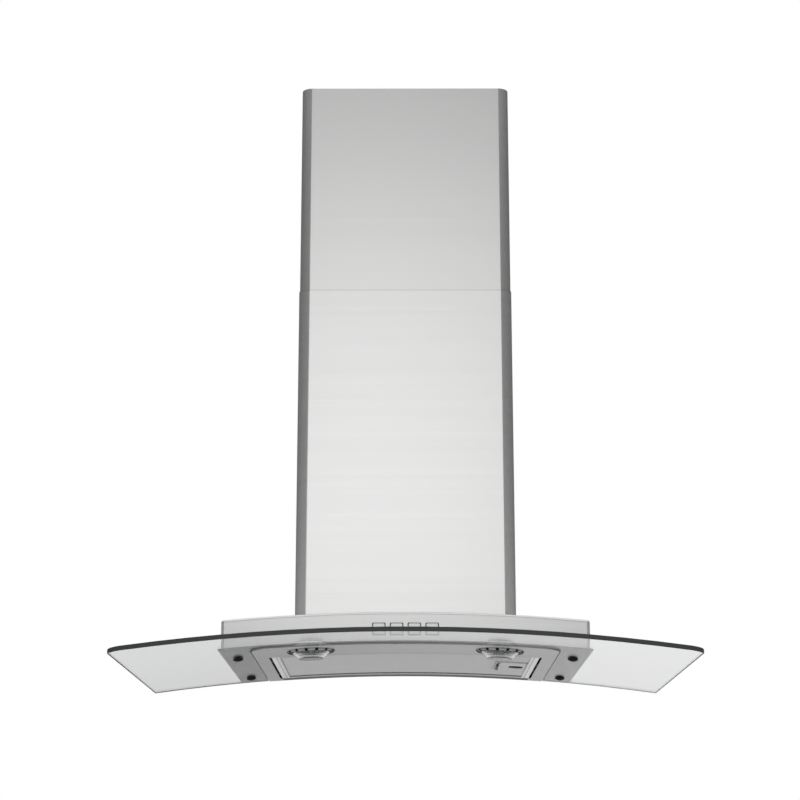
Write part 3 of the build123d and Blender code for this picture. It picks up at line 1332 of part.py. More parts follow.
# Lamps: chrome ring, tapered lens, can above the pan and capsule bulb
ring_bore = LAMP_LENS_RADIUS + LAMP_LENS_GAP
ring_collar = ring_bore + LAMP_RING_WALL
can_bore = lamp_hole_radius
can_radius = can_bore + SHEET
can_low = SHEET + SEAT_GAP
bulb_top = LAMP_CAN_HEIGHT - SHEET - SEAT_GAP
bulb_neck = bulb_top - BULB_BASE_LENGTH
bulb_low = bulb_neck - BULB_LENGTH
ring_profile = [
    (ring_bore, -LAMP_RING_DROP),
    (LAMP_RING_RADIUS - LAMP_RING_CHAMFER, -LAMP_RING_DROP),
    (LAMP_RING_RADIUS, LAMP_RING_CHAMFER - LAMP_RING_DROP),
    (LAMP_RING_RADIUS, -SEAT_GAP),
    (ring_collar, -SEAT_GAP),
    (ring_collar, LAMP_RING_COLLAR),
    (ring_bore, LAMP_RING_COLLAR),
]
lens_profile = [
    (LAMP_LENS_RADIUS, LAMP_LENS_RIM),
    (LAMP_LENS_RADIUS, -LAMP_RING_DROP),
    (LAMP_LENS_TIP_RADIUS, -LAMP_LENS_DROP),
    (0, -LAMP_LENS_DROP),
    (0, LAMP_LENS_WALL - LAMP_LENS_DROP),
    (LAMP_LENS_TIP_RADIUS - LAMP_LENS_WALL / 2, LAMP_LENS_WALL - LAMP_LENS_DROP),
    (LAMP_LENS_RADIUS - LAMP_LENS_WALL, LAMP_LENS_WALL / 2 - LAMP_RING_DROP),
    (LAMP_LENS_RADIUS - LAMP_LENS_WALL, LAMP_LENS_RIM),
]
can_profile = [
    (can_bore, can_low),
    (can_radius + LAMP_CAN_FLANGE, can_low),
    (can_radius + LAMP_CAN_FLANGE, can_low + SHEET),
    (can_radius, can_low + SHEET),
    (can_radius, LAMP_CAN_HEIGHT),
    (0, LAMP_CAN_HEIGHT),
    (0, LAMP_CAN_HEIGHT - SHEET),
    (can_bore, LAMP_CAN_HEIGHT - SHEET),
]
bulb_profile = [
    (0, bulb_low),
    (BULB_RADIUS / 2, bulb_low),
    (BULB_RADIUS, bulb_low + BULB_RADIUS / 2),
    (BULB_RADIUS, bulb_neck - BULB_RADIUS / 2),
    (BULB_BASE_RADIUS, bulb_neck),
    (BULB_BASE_RADIUS, bulb_top),
    (0, bulb_top),
]
LAMP_PIECES = {
    "lamp_ring": ring_profile,
    "lamp_lens": lens_profile,
    "lamp_can": can_profile,
    "lamp_bulb": bulb_profile,
}
for x, side in LAMP_PLACES:
    for piece, profile in LAMP_PIECES.items():
        with BuildPart() as lamp_piece:
            add(turned(arch_plane(x, -LAMP_Y, pan_bottom), profile))
        lamp_piece.part.label = f"{piece}_{side}"
        export_step(lamp_piece.part, f"parts/{piece}_{side}.step")

# Button bezel behind the front sheet, with a collar round each button
bezel_front = SHELL_FRONT_Y - SHEET - SEAT_GAP
bezel_back = bezel_front - BEZEL_PLATE
bezel_width = BUTTON_PITCH * (BUTTON_COUNT - 1) + 2 * (bezel_half_x + BEZEL_MARGIN)
bezel_height = 2 * (bezel_half_z + BEZEL_MARGIN)
with BuildPart() as button_bezel:
    with BuildSketch(Plane.XZ.offset(bezel_back)):
        with Locations((0, -BUTTON_DROP)):
            RectangleRounded(bezel_width, bezel_height, BUTTON_ROUND)
    extrude(amount=BEZEL_PLATE)
    with BuildSketch(Plane.XZ.offset(bezel_front)):
        with Locations(*[(x, -BUTTON_DROP) for x in BUTTON_PLACES]):
            RectangleRounded(2 * bezel_half_x, 2 * bezel_half_z, BUTTON_ROUND)
    extrude(amount=SHELL_FRONT_Y + BEZEL_PROUD - bezel_front)
    with BuildSketch(Plane.XZ.offset(bezel_back)):
        with Locations(*[(x, -BUTTON_DROP) for x in BUTTON_PLACES]):
            RectangleRounded(
                BUTTON_WIDTH + 2 * SLIDE_GAP, BUTTON_HEIGHT + 2 * SLIDE_GAP, BUTTON_ROUND
            )
    extrude(amount=4 * BEZEL_PLATE, mode=Mode.SUBTRACT)
button_bezel.part.label = "button_bezel"
export_step(button_bezel.part, "parts/button_bezel.step")

# Push buttons with a stop flange behind the bezel and a stem into the switch block
flange_face = bezel_back - SLIDE_GAP
flange_rear = flange_face - BUTTON_FLANGE
switch_face = flange_rear - BUTTON_TRAVEL - SWITCH_GAP
stem_end = switch_face - BUTTON_STEM_ENTRY
for i, x in enumerate(BUTTON_PLACES):
    with BuildPart() as button:
        with BuildSketch(Plane.XZ.offset(flange_face)):
            with Locations((x, -BUTTON_DROP)):
                RectangleRounded(BUTTON_WIDTH, BUTTON_HEIGHT, BUTTON_ROUND)
        extrude(amount=SHELL_FRONT_Y + BUTTON_PROUD - flange_face)
        fillet(button.faces().sort_by(Axis.Y)[0].edges(), BUTTON_EDGE_ROUND)
        with BuildSketch(Plane.XZ.offset(flange_rear)):
            with Locations((x, -BUTTON_DROP)):
                Rectangle(BUTTON_WIDTH + 2 * BUTTON_FLANGE, BUTTON_HEIGHT + 2 * BUTTON_FLANGE)
        extrude(amount=BUTTON_FLANGE)
        with BuildSketch(Plane.XZ.offset(stem_end)):
            with Locations((x, -BUTTON_DROP)):
                Rectangle(BUTTON_STEM_WIDTH, BUTTON_STEM_HEIGHT)
        extrude(amount=flange_rear - stem_end)
    button.part.label = f"button_{i + 1}"
    export_step(button.part, f"parts/button_{i + 1}.step")

# Switch block with a bore for each stem, held by a bent strip on the front sheet
switch_width = BUTTON_PITCH * (BUTTON_COUNT - 1) + BUTTON_WIDTH + 2 * SWITCH_MARGIN
switch_back = switch_face - SWITCH_LENGTH
bore_depth = BUTTON_STEM_ENTRY + BUTTON_TRAVEL + BUTTON_BORE_SPARE
with BuildPart() as switch_block:
    with BuildSketch(Plane.XZ.offset(switch_back)):
        with Locations((0, -BUTTON_DROP)):
            Rectangle(switch_width, SWITCH_HEIGHT)
    extrude(amount=SWITCH_LENGTH)
    with BuildSketch(Plane.XZ.offset(switch_face - bore_depth)):
        with Locations(*[(x, -BUTTON_DROP) for x in BUTTON_PLACES]):
            Rectangle(
                BUTTON_STEM_WIDTH + 2 * BUTTON_BORE_GAP, BUTTON_STEM_HEIGHT + 2 * BUTTON_BORE_GAP
            )
    extrude(amount=bore_depth, mode=Mode.SUBTRACT)
switch_block.part.label = "switch_block"
export_step(switch_block.part, "parts/switch_block.step")

strip_half = switch_width / 2 + SEAT_GAP
strip_front = -SHELL_FRONT_Y + SHEET + SEAT_GAP
strip_back = -switch_back + SEAT_GAP
switch_path = [
    (-strip_half - SWITCH_FOOT, strip_front),
    (-strip_half, strip_front),
    (-strip_half, strip_back),
    (strip_half, strip_back),
    (strip_half, strip_front),
    (strip_half + SWITCH_FOOT, strip_front),
]
with BuildPart() as switch_strip:
    extrude(
        bent_strip(
            Plane.XY.offset(-BUTTON_DROP - SWITCH_STRIP_HEIGHT / 2),
            switch_path,
            SWITCH_STRIP,
            Side.LEFT,
        ),
        amount=SWITCH_STRIP_HEIGHT,
    )
switch_strip.part.label = "switch_strip"
export_step(switch_strip.part, "parts/switch_strip.step")
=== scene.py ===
# %% [markdown]
# # A wall hood with an arched glass canopy
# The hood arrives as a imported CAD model: steel housing, glass sheet, filter, lamps, buttons, blower and a
# telescopic chimney. Every solid already sits in its real place, in metres, so this lesson never moves one.
# It adds a camera, a quiet studio and the finishes, and it makes the few pieces that CAD leaves plain.

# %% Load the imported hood
import math

import bpy
import numpy as np
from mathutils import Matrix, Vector


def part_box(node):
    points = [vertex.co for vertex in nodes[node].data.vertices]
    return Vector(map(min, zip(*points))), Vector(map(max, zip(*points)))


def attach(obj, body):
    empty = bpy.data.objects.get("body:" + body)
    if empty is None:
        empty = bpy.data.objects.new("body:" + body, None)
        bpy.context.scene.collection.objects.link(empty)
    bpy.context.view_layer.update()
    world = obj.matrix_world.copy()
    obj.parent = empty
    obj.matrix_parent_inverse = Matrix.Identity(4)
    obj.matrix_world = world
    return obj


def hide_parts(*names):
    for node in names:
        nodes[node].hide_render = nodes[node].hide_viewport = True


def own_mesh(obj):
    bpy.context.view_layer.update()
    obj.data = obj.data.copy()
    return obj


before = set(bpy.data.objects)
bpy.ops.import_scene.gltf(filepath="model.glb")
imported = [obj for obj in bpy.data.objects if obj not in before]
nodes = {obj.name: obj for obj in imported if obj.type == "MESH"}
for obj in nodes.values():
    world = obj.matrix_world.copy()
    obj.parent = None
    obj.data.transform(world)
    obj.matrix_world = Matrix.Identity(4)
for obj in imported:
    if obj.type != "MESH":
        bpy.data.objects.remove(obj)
scene = bpy.context.scene
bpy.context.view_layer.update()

# %% [markdown]
# ## The camera
# The hood hangs on a wall and is seen from the front, from a little below its underside. A long lens far
# away keeps the chimney's sides nearly upright. The camera could be placed by eye, but the width of the glass
# and the height of the chimney give its distance, height and tilt, so those numbers are written down here.

# %% Camera in front of the hood and below it
IMAGE_SIDE = 800
SENSOR_WIDTH = 36.0
FOCAL_PIXELS = 1940.0
CAMERA_PLACE = (0.0, -2.92, -0.365)
CAMERA_TILT = math.radians(14.43)
SIDE_PIXELS = 5.5

camera_data = bpy.data.cameras.new("camera")
camera_data.sensor_width = SENSOR_WIDTH
camera_data.lens = FOCAL_PIXELS / IMAGE_SIDE * SENSOR_WIDTH
camera = bpy.data.objects.new("camera", camera_data)
camera.location = CAMERA_PLACE
camera.rotation_euler = (math.pi / 2 + CAMERA_TILT, 0, math.atan(SIDE_PIXELS / FOCAL_PIXELS))
scene.collection.objects.link(camera)
scene.camera = camera
scene.view_settings.view_transform = "Standard"
print("lens", round(camera_data.lens, 1), "mm")

# %% [markdown]
# ## A mesh from whole arrays
# Every new surface below is worked out with numpy as a grid of points. A grid of rows and columns only needs
# one rule to become faces: each cell joins four neighbours. Doing this with arrays is quick and leaves no loop
# over single points, so the same two helpers serve the floor, the studio cards and the pieces of the hood.

# %% Helpers that turn arrays into objects
def grid_faces(rows, columns):
    """Four corner numbers for each cell of a rows x columns grid of points, in turning order."""
    index = np.arange(rows * columns).reshape(rows, columns)
    corners = (index[:-1, :-1], index[:-1, 1:], index[1:, 1:], index[1:, :-1])
    return np.stack(corners, axis=-1).reshape(-1, 4)


def mesh_object(name, points, faces, finish, smooth=True):
    """An object at the origin whose mesh holds these points and four-cornered faces."""
    mesh = bpy.data.meshes.new(name)
    mesh.vertices.add(len(points))
    mesh.vertices.foreach_set("co", np.ascontiguousarray(points, dtype=np.float32).ravel())
    mesh.loops.add(faces.size)
    mesh.loops.foreach_set("vertex_index", np.ascontiguousarray(faces, dtype=np.int32).ravel())
    mesh.polygons.add(len(faces))
    mesh.polygons.foreach_set("loop_start", np.arange(0, faces.size, 4, dtype=np.int32))
    mesh.polygons.foreach_set("use_smooth", np.full(len(faces), smooth))
    mesh.update(calc_edges=True)
    mesh.validate()
    mesh.materials.append(finish)
    piece = bpy.data.objects.new(name, mesh)
    scene.collection.objects.link(piece)
    return piece


print("a grid of 3 x 4 points has", len(grid_faces(3, 4)), "faces")

# %% [markdown]
# ## Nodes in a line each
# Light and finish in Blender are both trees of small nodes. In the editor each node is added, set and wired by
# hand, and a script could spell out the same three steps every time. They come back so often that a few helpers
# take them over: one adds a node, one does sums, one carries a value from one range onto another.

# %% Helpers for node trees
def add_node(tree, kind, **settings):
    """A new node of a kind, with its settings, such as the operation of a Math node."""
    node = tree.nodes.new("ShaderNode" + kind)
    for setting, value in settings.items():
        setattr(node, setting, value)
    return node


def calculate(tree, operation, *values):
    """The result of a Math node: a value that is a socket is wired to it, a number is typed in."""
    node = add_node(tree, "Math", operation=operation)
    for socket, value in zip(node.inputs, values):
        if isinstance(value, bpy.types.NodeSocket):
            tree.links.new(value, socket)
        else:
            socket.default_value = value
    return node.outputs[0]


def rescale(tree, factor, low, high, start=0.3, end=0.7, curve="LINEAR"):
    """Carries a factor between start and end onto the range low to high, and holds it at both ends."""
    ramp = add_node(tree, "MapRange", interpolation_type=curve)
    limits = {"From Min": start, "From Max": end, "To Min": low, "To Max": high}
    for socket, value in limits.items():
        ramp.inputs[socket].default_value = value
    tree.links.new(factor, ramp.inputs["Value"])
    return ramp.outputs["Result"]


print("node helpers:", add_node.__name__, calculate.__name__, rescale.__name__)

# %% [markdown]
# ## The studio
# A hood is photographed against white with large soft lights. Steel and glass show their surroundings more
# than their own colour, so the surroundings decide the picture. The world is plain white to the camera and to
# reflections, and a softer grey to matt surfaces, which three area lamps then shape.

# %% White world
AMBIENT = 0.62

world = bpy.data.worlds.new("studio_world")
world.use_nodes = True
scene.world = world
sky = world.node_tree
sky.nodes.clear()
rays = add_node(sky, "LightPath")
glossy_or_clear = calculate(sky, "MAXIMUM", rays.outputs["Is Glossy Ray"], rays.outputs["Is Transmission Ray"])
choose = add_node(sky, "MixShader")
sky.links.new(calculate(sky, "MAXIMUM", rays.outputs["Is Camera Ray"], glossy_or_clear), choose.inputs["Fac"])
for number, strength in ((1, AMBIENT), (2, 1.0)):
    background = add_node(sky, "Background")
    background.inputs["Color"].default_value = (1, 1, 1, 1)
    background.inputs["Strength"].default_value = strength
    sky.links.new(background.outputs[0], choose.inputs[number])
sky_out = add_node(sky, "OutputWorld")
sky.links.new(choose.outputs[0], sky_out.inputs["Surface"])
print("world white to the camera, ambient", AMBIENT)

# %% Three soft lamps
SOFTBOX_SIDE = 1.8
SOFTBOXES = {
    "key_softbox": ((-2.0, -2.6, 2.2), 30.0),
    "fill_softbox": ((2.4, -2.2, 0.4), 18.0),
    "rear_softbox": ((0.6, 2.8, 1.6), 18.0),
}
AIM = Vector((0.0, -0.2, 0.3))


def softbox(name, place, watts):
    """A square lamp that faces the hood. Metal sees the white world in its stead."""
    lamp = bpy.data.lights.new(name, "AREA")
    lamp.size = SOFTBOX_SIDE
    lamp.energy = watts
    holder = bpy.data.objects.new(name, lamp)
    holder.location = place
    holder.rotation_euler = (AIM - Vector(place)).to_track_quat("-Z", "Y").to_euler()
    holder.visible_glossy = False
    holder.visible_transmission = False
    holder.visible_camera = False
    scene.collection.objects.link(holder)
    return holder


lamps = [softbox(name, *values) for name, values in SOFTBOXES.items()]
print("lamps:", [lamp.name for lamp in lamps])

# %% [markdown]
# ## The floor
# A hood hangs about a metre and a half above the floor, so the floor is low and only seen when the camera
# looks down. It is a wide disc: matt and pale in the middle, where the shadow falls, and fading into the white
# of the world further out, so that no horizon line cuts the picture. Its pattern needs to know where a point
# is, which Object coordinates say in metres.

# %% Where a point is
def placed_coords(tree, scale=(1, 1, 1), place=(0, 0, 0)):
    """Object coordinates, multiplied axis by axis and then moved."""
    coords = add_node(tree, "TexCoord")
    mapping = add_node(tree, "Mapping")
    mapping.inputs["Scale"].default_value = scale
    mapping.inputs["Location"].default_value = place
    tree.links.new(coords.outputs["Object"], mapping.inputs["Vector"])
    return mapping.outputs["Vector"]


def distance(tree, scale, place=(0, 0, 0)):
    """Length of a point's placed coordinates. An axis whose scale is nothing doesn't count."""
    length = add_node(tree, "VectorMath", operation="LENGTH")
    tree.links.new(placed_coords(tree, scale, place), length.inputs[0])
    return length.outputs["Value"]


def coordinate(tree, axis):
    """One of a point's three Object coordinates."""
    coords = add_node(tree, "TexCoord")
    split = add_node(tree, "SeparateXYZ")
    tree.links.new(coords.outputs["Object"], split.inputs[0])
    return split.outputs[axis]


print("places read as", placed_coords.__name__, distance.__name__, coordinate.__name__)

# %% Paint of the floor
FADE_START, FADE_END = 1.2, 5.0
FLOOR_COLOUR = (0.86, 0.86, 0.86, 1)


def bare_finish(name):
    """A material whose node tree is empty."""
    finish = bpy.data.materials.new(name)
    finish.use_nodes = True
    finish.node_tree.nodes.clear()
    return finish, finish.node_tree


def show(tree, shader):
    """Wires a shader to the surface of its material."""
    out = add_node(tree, "OutputMaterial")
    tree.links.new(shader.outputs[0], out.inputs["Surface"])


def floor_finish():
    """Matt pale paint that turns into plain white between two distances from the middle."""
    finish, tree = bare_finish("pale_floor")
    paint = add_node(tree, "BsdfDiffuse")
    paint.inputs["Color"].default_value = FLOOR_COLOUR
    fade = add_node(tree, "MixShader")
    share = rescale(tree, distance(tree, (1, 1, 0)), 0, 1, FADE_START, FADE_END, "SMOOTHSTEP")
    tree.links.new(share, fade.inputs["Fac"])
    tree.links.new(paint.outputs[0], fade.inputs[1])
    tree.links.new(add_node(tree, "Emission").outputs[0], fade.inputs[2])
    show(tree, fade)
    return finish


floor_paint = floor_finish()
print("floor fades from", FADE_START, "to", FADE_END, "m")

# %% A disc without a pole
FLOOR_HEIGHT = -1.55
FLOOR_RADIUS = 14.0
FLOOR_STEPS = 48


def round_grid(steps):
    """A square grid pressed into a unit disc.

    Each coordinate shrinks by the square root of one less half the other's square.
    """
    u, v = np.meshgrid(np.linspace(-1, 1, steps), np.linspace(-1, 1, steps), indexing="ij")
    points = np.stack((u * np.sqrt(1 - v ** 2 / 2), v * np.sqrt(1 - u ** 2 / 2)), -1).reshape(-1, 2)
    return points, grid_faces(steps, steps)[:, ::-1]


disc, disc_faces = round_grid(FLOOR_STEPS)
floor_points = np.column_stack((FLOOR_RADIUS * disc, np.full(len(disc), FLOOR_HEIGHT)))
floor = mesh_object("floor", floor_points, disc_faces, floor_paint)
print("floor at", FLOOR_HEIGHT, "with", len(disc_faces), "faces")

# %% [markdown]
# ## Flags for the metal
# In an all-white room a steel chimney has no edges. Photographers stand dark flags to the sides, so that the
# rounded corners reflect something darker, and they let the panel in front fade towards the top, so that the
# steel shades from light to grey. Cards low down stand for the room's floor in the same way, and one behind
# the hood gives the glass its grey tone. All are curved cards, seen only by reflections.

# %% Form and light of a card
CARD_RADIUS = 5.0
CARD_REACH = 0.7
CARD_CENTRE = np.array((0.0, -0.25, 0.0))


def card_surface(azimuths, elevations, columns=48, rows=16):
    """Part of a sphere round the hood: azimuth (0 in front) runs one way, elevation the other, in degrees."""
    turns = np.radians(np.linspace(*azimuths, columns))
    rises = np.radians(np.linspace(*elevations, rows))
    turn, rise = np.meshgrid(turns, rises, indexing="ij")
    across = np.cos(rise)
    points = np.stack((np.sin(turn) * across, -np.cos(turn) * across, np.sin(rise)), -1)
    return (CARD_CENTRE + CARD_RADIUS * points).reshape(-1, 3), grid_faces(columns, rows)


def card_finish(name, low, high, low_height, high_height, left, right):
    """Light that goes from low to high between two heights, times a share that goes from left to right."""
    finish, tree = bare_finish(name)
    upwards = rescale(tree, coordinate(tree, "Z"), low, high, low_height, high_height, "SMOOTHSTEP")
    across = rescale(tree, coordinate(tree, "X"), left, right, -CARD_REACH, CARD_REACH, "SMOOTHSTEP")
    glow = add_node(tree, "Emission")
    tree.links.new(calculate(tree, "MULTIPLY", upwards, across), glow.inputs["Strength"])
    show(tree, glow)
    return finish


print("cards stand", CARD_RADIUS, "m away")

# %% Six studio cards
# Each card has its azimuths, its elevations, and the six numbers of its light.
CARDS = {
    "front_panel": ((-10, 10), (4, 50), (1.14, 0.2, 1.5, 3.3, 1.06, 0.91)),
    "right_flag": ((10, 175), (3, 42), (0.14, 0.14, 0.0, 1.0, 1.0, 1.0)),
    "left_flag": ((-175, -10), (3, 42), (0.14, 0.14, 0.0, 1.0, 1.0, 1.0)),
    "low_card": ((145, 215), (-24, -1), (1.0, 1.0, 0.0, 1.0, 0.2, 0.47)),
    "floor_card": ((-145, 145), (-65, 3), (0.5, 0.8, -3.0, 0.3, 1.0, 1.0)),
    "rear_floor_card": ((145, 215), (-65, -24), (0.5, 0.8, -3.0, 0.3, 1.0, 1.0)),
}
for card_name, (azimuths, elevations, light) in CARDS.items():
    card_light = card_finish(card_name + "_light", *light)
    card = mesh_object(card_name, *card_surface(azimuths, elevations), card_light)
    for ray in ("camera", "diffuse", "transmission", "volume_scatter", "shadow"):
        setattr(card, "visible_" + ray, False)
print("cards:", list(CARDS))

# %% [markdown]
# ## Finishes
# Each finish is one Principled shader. What is the same all over, such as metalness, is typed straight onto the
# shader. What varies comes from noise on Object coordinates, which are metres here: stretching the noise along
# one direction makes brushed grain, and leaving it even makes cast or moulded texture.

# %% A shader and its noise
def new_finish(name, colour, roughness, metallic=0.0, **sockets):
    """A material with one Principled shader; extra sockets are named with underscores for spaces."""
    finish = bpy.data.materials.new(name)
    finish.use_nodes = True
    shader = finish.node_tree.nodes["Principled BSDF"]
    shader.inputs["Base Color"].default_value = (*colour, 1)
    shader.inputs["Roughness"].default_value = roughness
    shader.inputs["Metallic"].default_value = metallic
    for socket, value in sockets.items():
        shader.inputs[socket.replace("_", " ")].default_value = value
    return finish, finish.node_tree, shader


def object_noise(tree, stretch, detail=2.0, place=(0, 0, 0)):
    """Noise whose cells are 1 / stretch metres long, axis by axis."""
    noise = add_node(tree, "TexNoise")
    noise.inputs["Scale"].default_value = 1.0
    noise.inputs["Detail"].default_value = detail
    tree.links.new(placed_coords(tree, stretch, place), noise.inputs["Vector"])
    return noise.outputs["Fac"]


print("finishes start from", new_finish.__name__, "and", object_noise.__name__)

# %% Tones, relief and dressing
def two_tone(tree, factor, dark, light):
    """A colour that goes from dark to light with the factor."""
    mix = add_node(tree, "Mix", data_type="RGBA")
    colours = [socket for socket in mix.inputs if socket.type == "RGBA"]
    for socket, colour in zip(colours, (dark, light)):
        socket.default_value = (*colour, 1)
    tree.links.new(factor, mix.inputs[0])
    return next(socket for socket in mix.outputs if socket.type == "RGBA")


def relief(tree, shader, factor, height, strength=1.0):
    """A bump whose full swing is height metres, of which strength is the share that shows."""
    bump = add_node(tree, "Bump")
    bump.inputs["Strength"].default_value = strength
    bump.inputs["Distance"].default_value = height
    tree.links.new(factor, bump.inputs["Height"])
    tree.links.new(bump.outputs["Normal"], shader.inputs["Normal"])


def dress(finish, *names):
    """Gives CAD nodes a finish as their only material."""
    for name in names:
        materials = nodes[name].data.materials
        materials.clear()
        materials.append(finish)


print("nodes to dress:", len(nodes))

# %% [markdown]
# ## Brushed steel
# The chimney and the housing are stainless sheet with a fine grain rolled into it. The grain is thousands of
# scratches less than a millimetre wide and many centimetres long. Drawing each one is hopeless; noise that is
# stretched along the grain gives the same streaks, changes the roughness a little from scratch to scratch, and
# raises a bump of less than a micron. The shader's own anisotropy then spreads highlights across the grain.

# %% Metal with a grain
GRAIN_HEIGHT = 1.2e-6
GRAIN_STRENGTH = 0.4
GRAIN_SWING = 0.012
BROAD_STREAK = 14
BROAD_PLACE = (3.1, 1.7, 5.3)


def brushed_finish(name, tones, roughness, stretch, anisotropy=0.55):
    """Metal with grain along the axis whose stretch is small, in two sizes of streak."""
    finish, tree, shader = new_finish(
        name, tones[1], roughness, 1.0, Anisotropic=anisotropy, Anisotropic_Rotation=0.25
    )
    tangent = add_node(tree, "Tangent", direction_type="RADIAL", axis="Z")
    tree.links.new(tangent.outputs["Tangent"], shader.inputs["Tangent"])
    fine = object_noise(tree, stretch, 3.0)
    broad = object_noise(tree, tuple(v / BROAD_STREAK for v in stretch), 2.0, BROAD_PLACE)
    tree.links.new(two_tone(tree, rescale(tree, broad, 0, 1), *tones), shader.inputs["Base Color"])
    rough = rescale(tree, fine, roughness - GRAIN_SWING, roughness + GRAIN_SWING)
    tree.links.new(rough, shader.inputs["Roughness"])
    relief(tree, shader, fine, GRAIN_HEIGHT, GRAIN_STRENGTH)
    return finish


print("grain raised by", round(GRAIN_HEIGHT * GRAIN_STRENGTH * 1e6, 2), "microns")

# %% Steel of the chimney and the housing
CHIMNEY_GRAIN = (2.5, 2.5, 1400.0)
HOUSING_GRAIN = (2.5, 1100.0, 1400.0)
LOWER_TONES = (0.835, 0.835, 0.83), (0.85, 0.85, 0.845)
# Painted shade: the upper cover is the same steel as the lower one, painted a little darker to set the covers
# apart.
UPPER_SHADED_TONES = (0.815, 0.815, 0.81), (0.83, 0.83, 0.825)
HOUSING_TONES = (0.73, 0.73, 0.725), (0.75, 0.75, 0.745)

lower_steel = brushed_finish("lower_chimney_steel", LOWER_TONES, 0.26, CHIMNEY_GRAIN)
upper_steel = brushed_finish("upper_chimney_steel", UPPER_SHADED_TONES, 0.26, CHIMNEY_GRAIN)
housing_steel = brushed_finish("housing_steel", HOUSING_TONES, 0.3, HOUSING_GRAIN)
dress(lower_steel, "lower_chimney_cover")
dress(upper_steel, "upper_chimney_cover")
dress(housing_steel, "hood_shell")
print("steel on", ["lower_chimney_cover", "upper_chimney_cover", "hood_shell"])

# %% [markdown]
# ## The line between the covers
# The upper cover slides inside the lower one, and where the lower one ends a fine dark line runs across the
# chimney. The step between the sheets is real geometry, but it is thinner than a pixel. The top few millimetres
# of the lower cover carry a painted shade that stands for the shade at that step: a mask picks them by height,
# and the steel's own colour is multiplied by a share there, so the grain runs on through the line.

# %% A mask and a shade
def band(tree, axis, low, high):
    """One where a point's distance from the plane through the origin lies between two values, else nothing."""
    reach = calculate(tree, "ABSOLUTE", coordinate(tree, axis))
    return calculate(tree, "COMPARE", reach, (low + high) / 2, (high - low) / 2)


def shade(finish, mask, share):
    """Multiplies the colour by a share where the mask is one."""
    tree = finish.node_tree
    base = tree.nodes["Principled BSDF"].inputs["Base Color"]
    darken = add_node(tree, "VectorMath", operation="MULTIPLY")
    tree.links.new(base.links[0].from_socket, darken.inputs[0])
    tree.links.new(two_tone(tree, mask, (1, 1, 1), (share, share, share)), darken.inputs[1])
    tree.links.new(darken.outputs["Vector"], base)


# Painted shade: a band three millimetres high at the top of the lower cover, darkened to stand for the shade at
# the step.
STEP_SHADE_LOW, STEP_SHADE_HIGH, STEP_SHADE_SHARE = 0.481, 0.484, 0.86
shade(lower_steel, band(lower_steel.node_tree, "Z", STEP_SHADE_LOW, STEP_SHADE_HIGH), STEP_SHADE_SHARE)
print("line", round((STEP_SHADE_HIGH - STEP_SHADE_LOW) * 1000, 1), "mm high at", STEP_SHADE_LOW, "m")

# %% [markdown]
# ## The underside pan
# The underside is a drawn tray of satin steel, its colour painted darker than the chimney's as shade of the
# underside. Its flange lies above the glass and is seen through it at so flat an angle that smooth metal would
# mirror the white room, yet on the hood it looks a calm dark grey, and so does the strip behind the filter. Both
# places get painted shade: their colour is darkened, and since a darker colour alone changes little at that angle,
# they are made matt as well. The tray is one sheet and one mesh: masks tell its parts from each other, the flange
# by its distance from the axis of the arch that the whole underside follows.

# %% Masks for the tray
ARCH_RADIUS = 2.66655
ARCH_DROP = 0.0405


def above_face(tree, level):
    """One where a point lies further than the arch's radius plus level from the arch's axis, else nothing."""
    from_axis = distance(tree, (1, 0, 1), (0, 0, ARCH_RADIUS + ARCH_DROP))
    return calculate(tree, "GREATER_THAN", from_axis, ARCH_RADIUS + level)


def matt_where(finish, mask, roughness):
    """Raises the roughness where the mask is one."""
    tree = finish.node_tree
    rough = tree.nodes["Principled BSDF"].inputs["Roughness"]
    least = rescale(tree, mask, 0.0, roughness, 0.0, 1.0)
    tree.links.new(calculate(tree, "MAXIMUM", rough.links[0].from_socket, least), rough)


print("arch radius", ARCH_RADIUS, "m")

# %% Satin steel of the tray and the latch
PAN_GRAIN = (3.0, 900.0, 300.0)
# The tray's own finish is satin steel; its colour is painted darker than the chimney's as shade of the underside.
PAN_SHADED_TONES = (0.5, 0.5, 0.5), (0.54, 0.54, 0.54)
LATCH_TONES = (0.6, 0.6, 0.6), (0.66, 0.66, 0.66)
FACE_LEVEL = 0.0004
FLANGE_PAINTED_SHADE = 0.02
FILTER_HALF = 0.1822
REAR_STRIP = 0.0287
REAR_PAINTED_SHADE = 0.35
MATT_ROUGHNESS = 0.9

pan_steel = brushed_finish("pan_steel", PAN_SHADED_TONES, 0.36, PAN_GRAIN, anisotropy=0.2)
pan_tree = pan_steel.node_tree
flange = above_face(pan_tree, FACE_LEVEL)
behind_filter = calculate(
    pan_tree, "MULTIPLY", band(pan_tree, "Y", 0.0, REAR_STRIP), band(pan_tree, "X", 0.0, FILTER_HALF)
)
# Painted shade: the flange and the strip behind the filter are darkened, and made matt.
for mask, share in ((flange, FLANGE_PAINTED_SHADE), (behind_filter, REAR_PAINTED_SHADE)):
    shade(pan_steel, mask, share)
    matt_where(pan_steel, mask, MATT_ROUGHNESS)
latch_steel = brushed_finish("latch_steel", LATCH_TONES, 0.3, PAN_GRAIN, anisotropy=0.2)
dress(pan_steel, "underside_pan")
dress(latch_steel, "latch_slide", "latch_spring")
print("pan nodes:", len(pan_tree.nodes))

# %% [markdown]
# ## The glass canopy
# The canopy is a sheet of clear toughened glass, six millimetres thick. From the front its faces are seen at a
# shallow angle, half mirror and half window, and its ground edge is nearly black, because light that enters
# there runs sideways through the whole sheet. True refraction gives the faces. Bare glass has an index of about
# 1.5, which mirrors too much here, so a lower one was chosen by comparing pictures. The edge is found by its
# normal, which lies flat where the faces point up or down, and it gets its own dark tint.

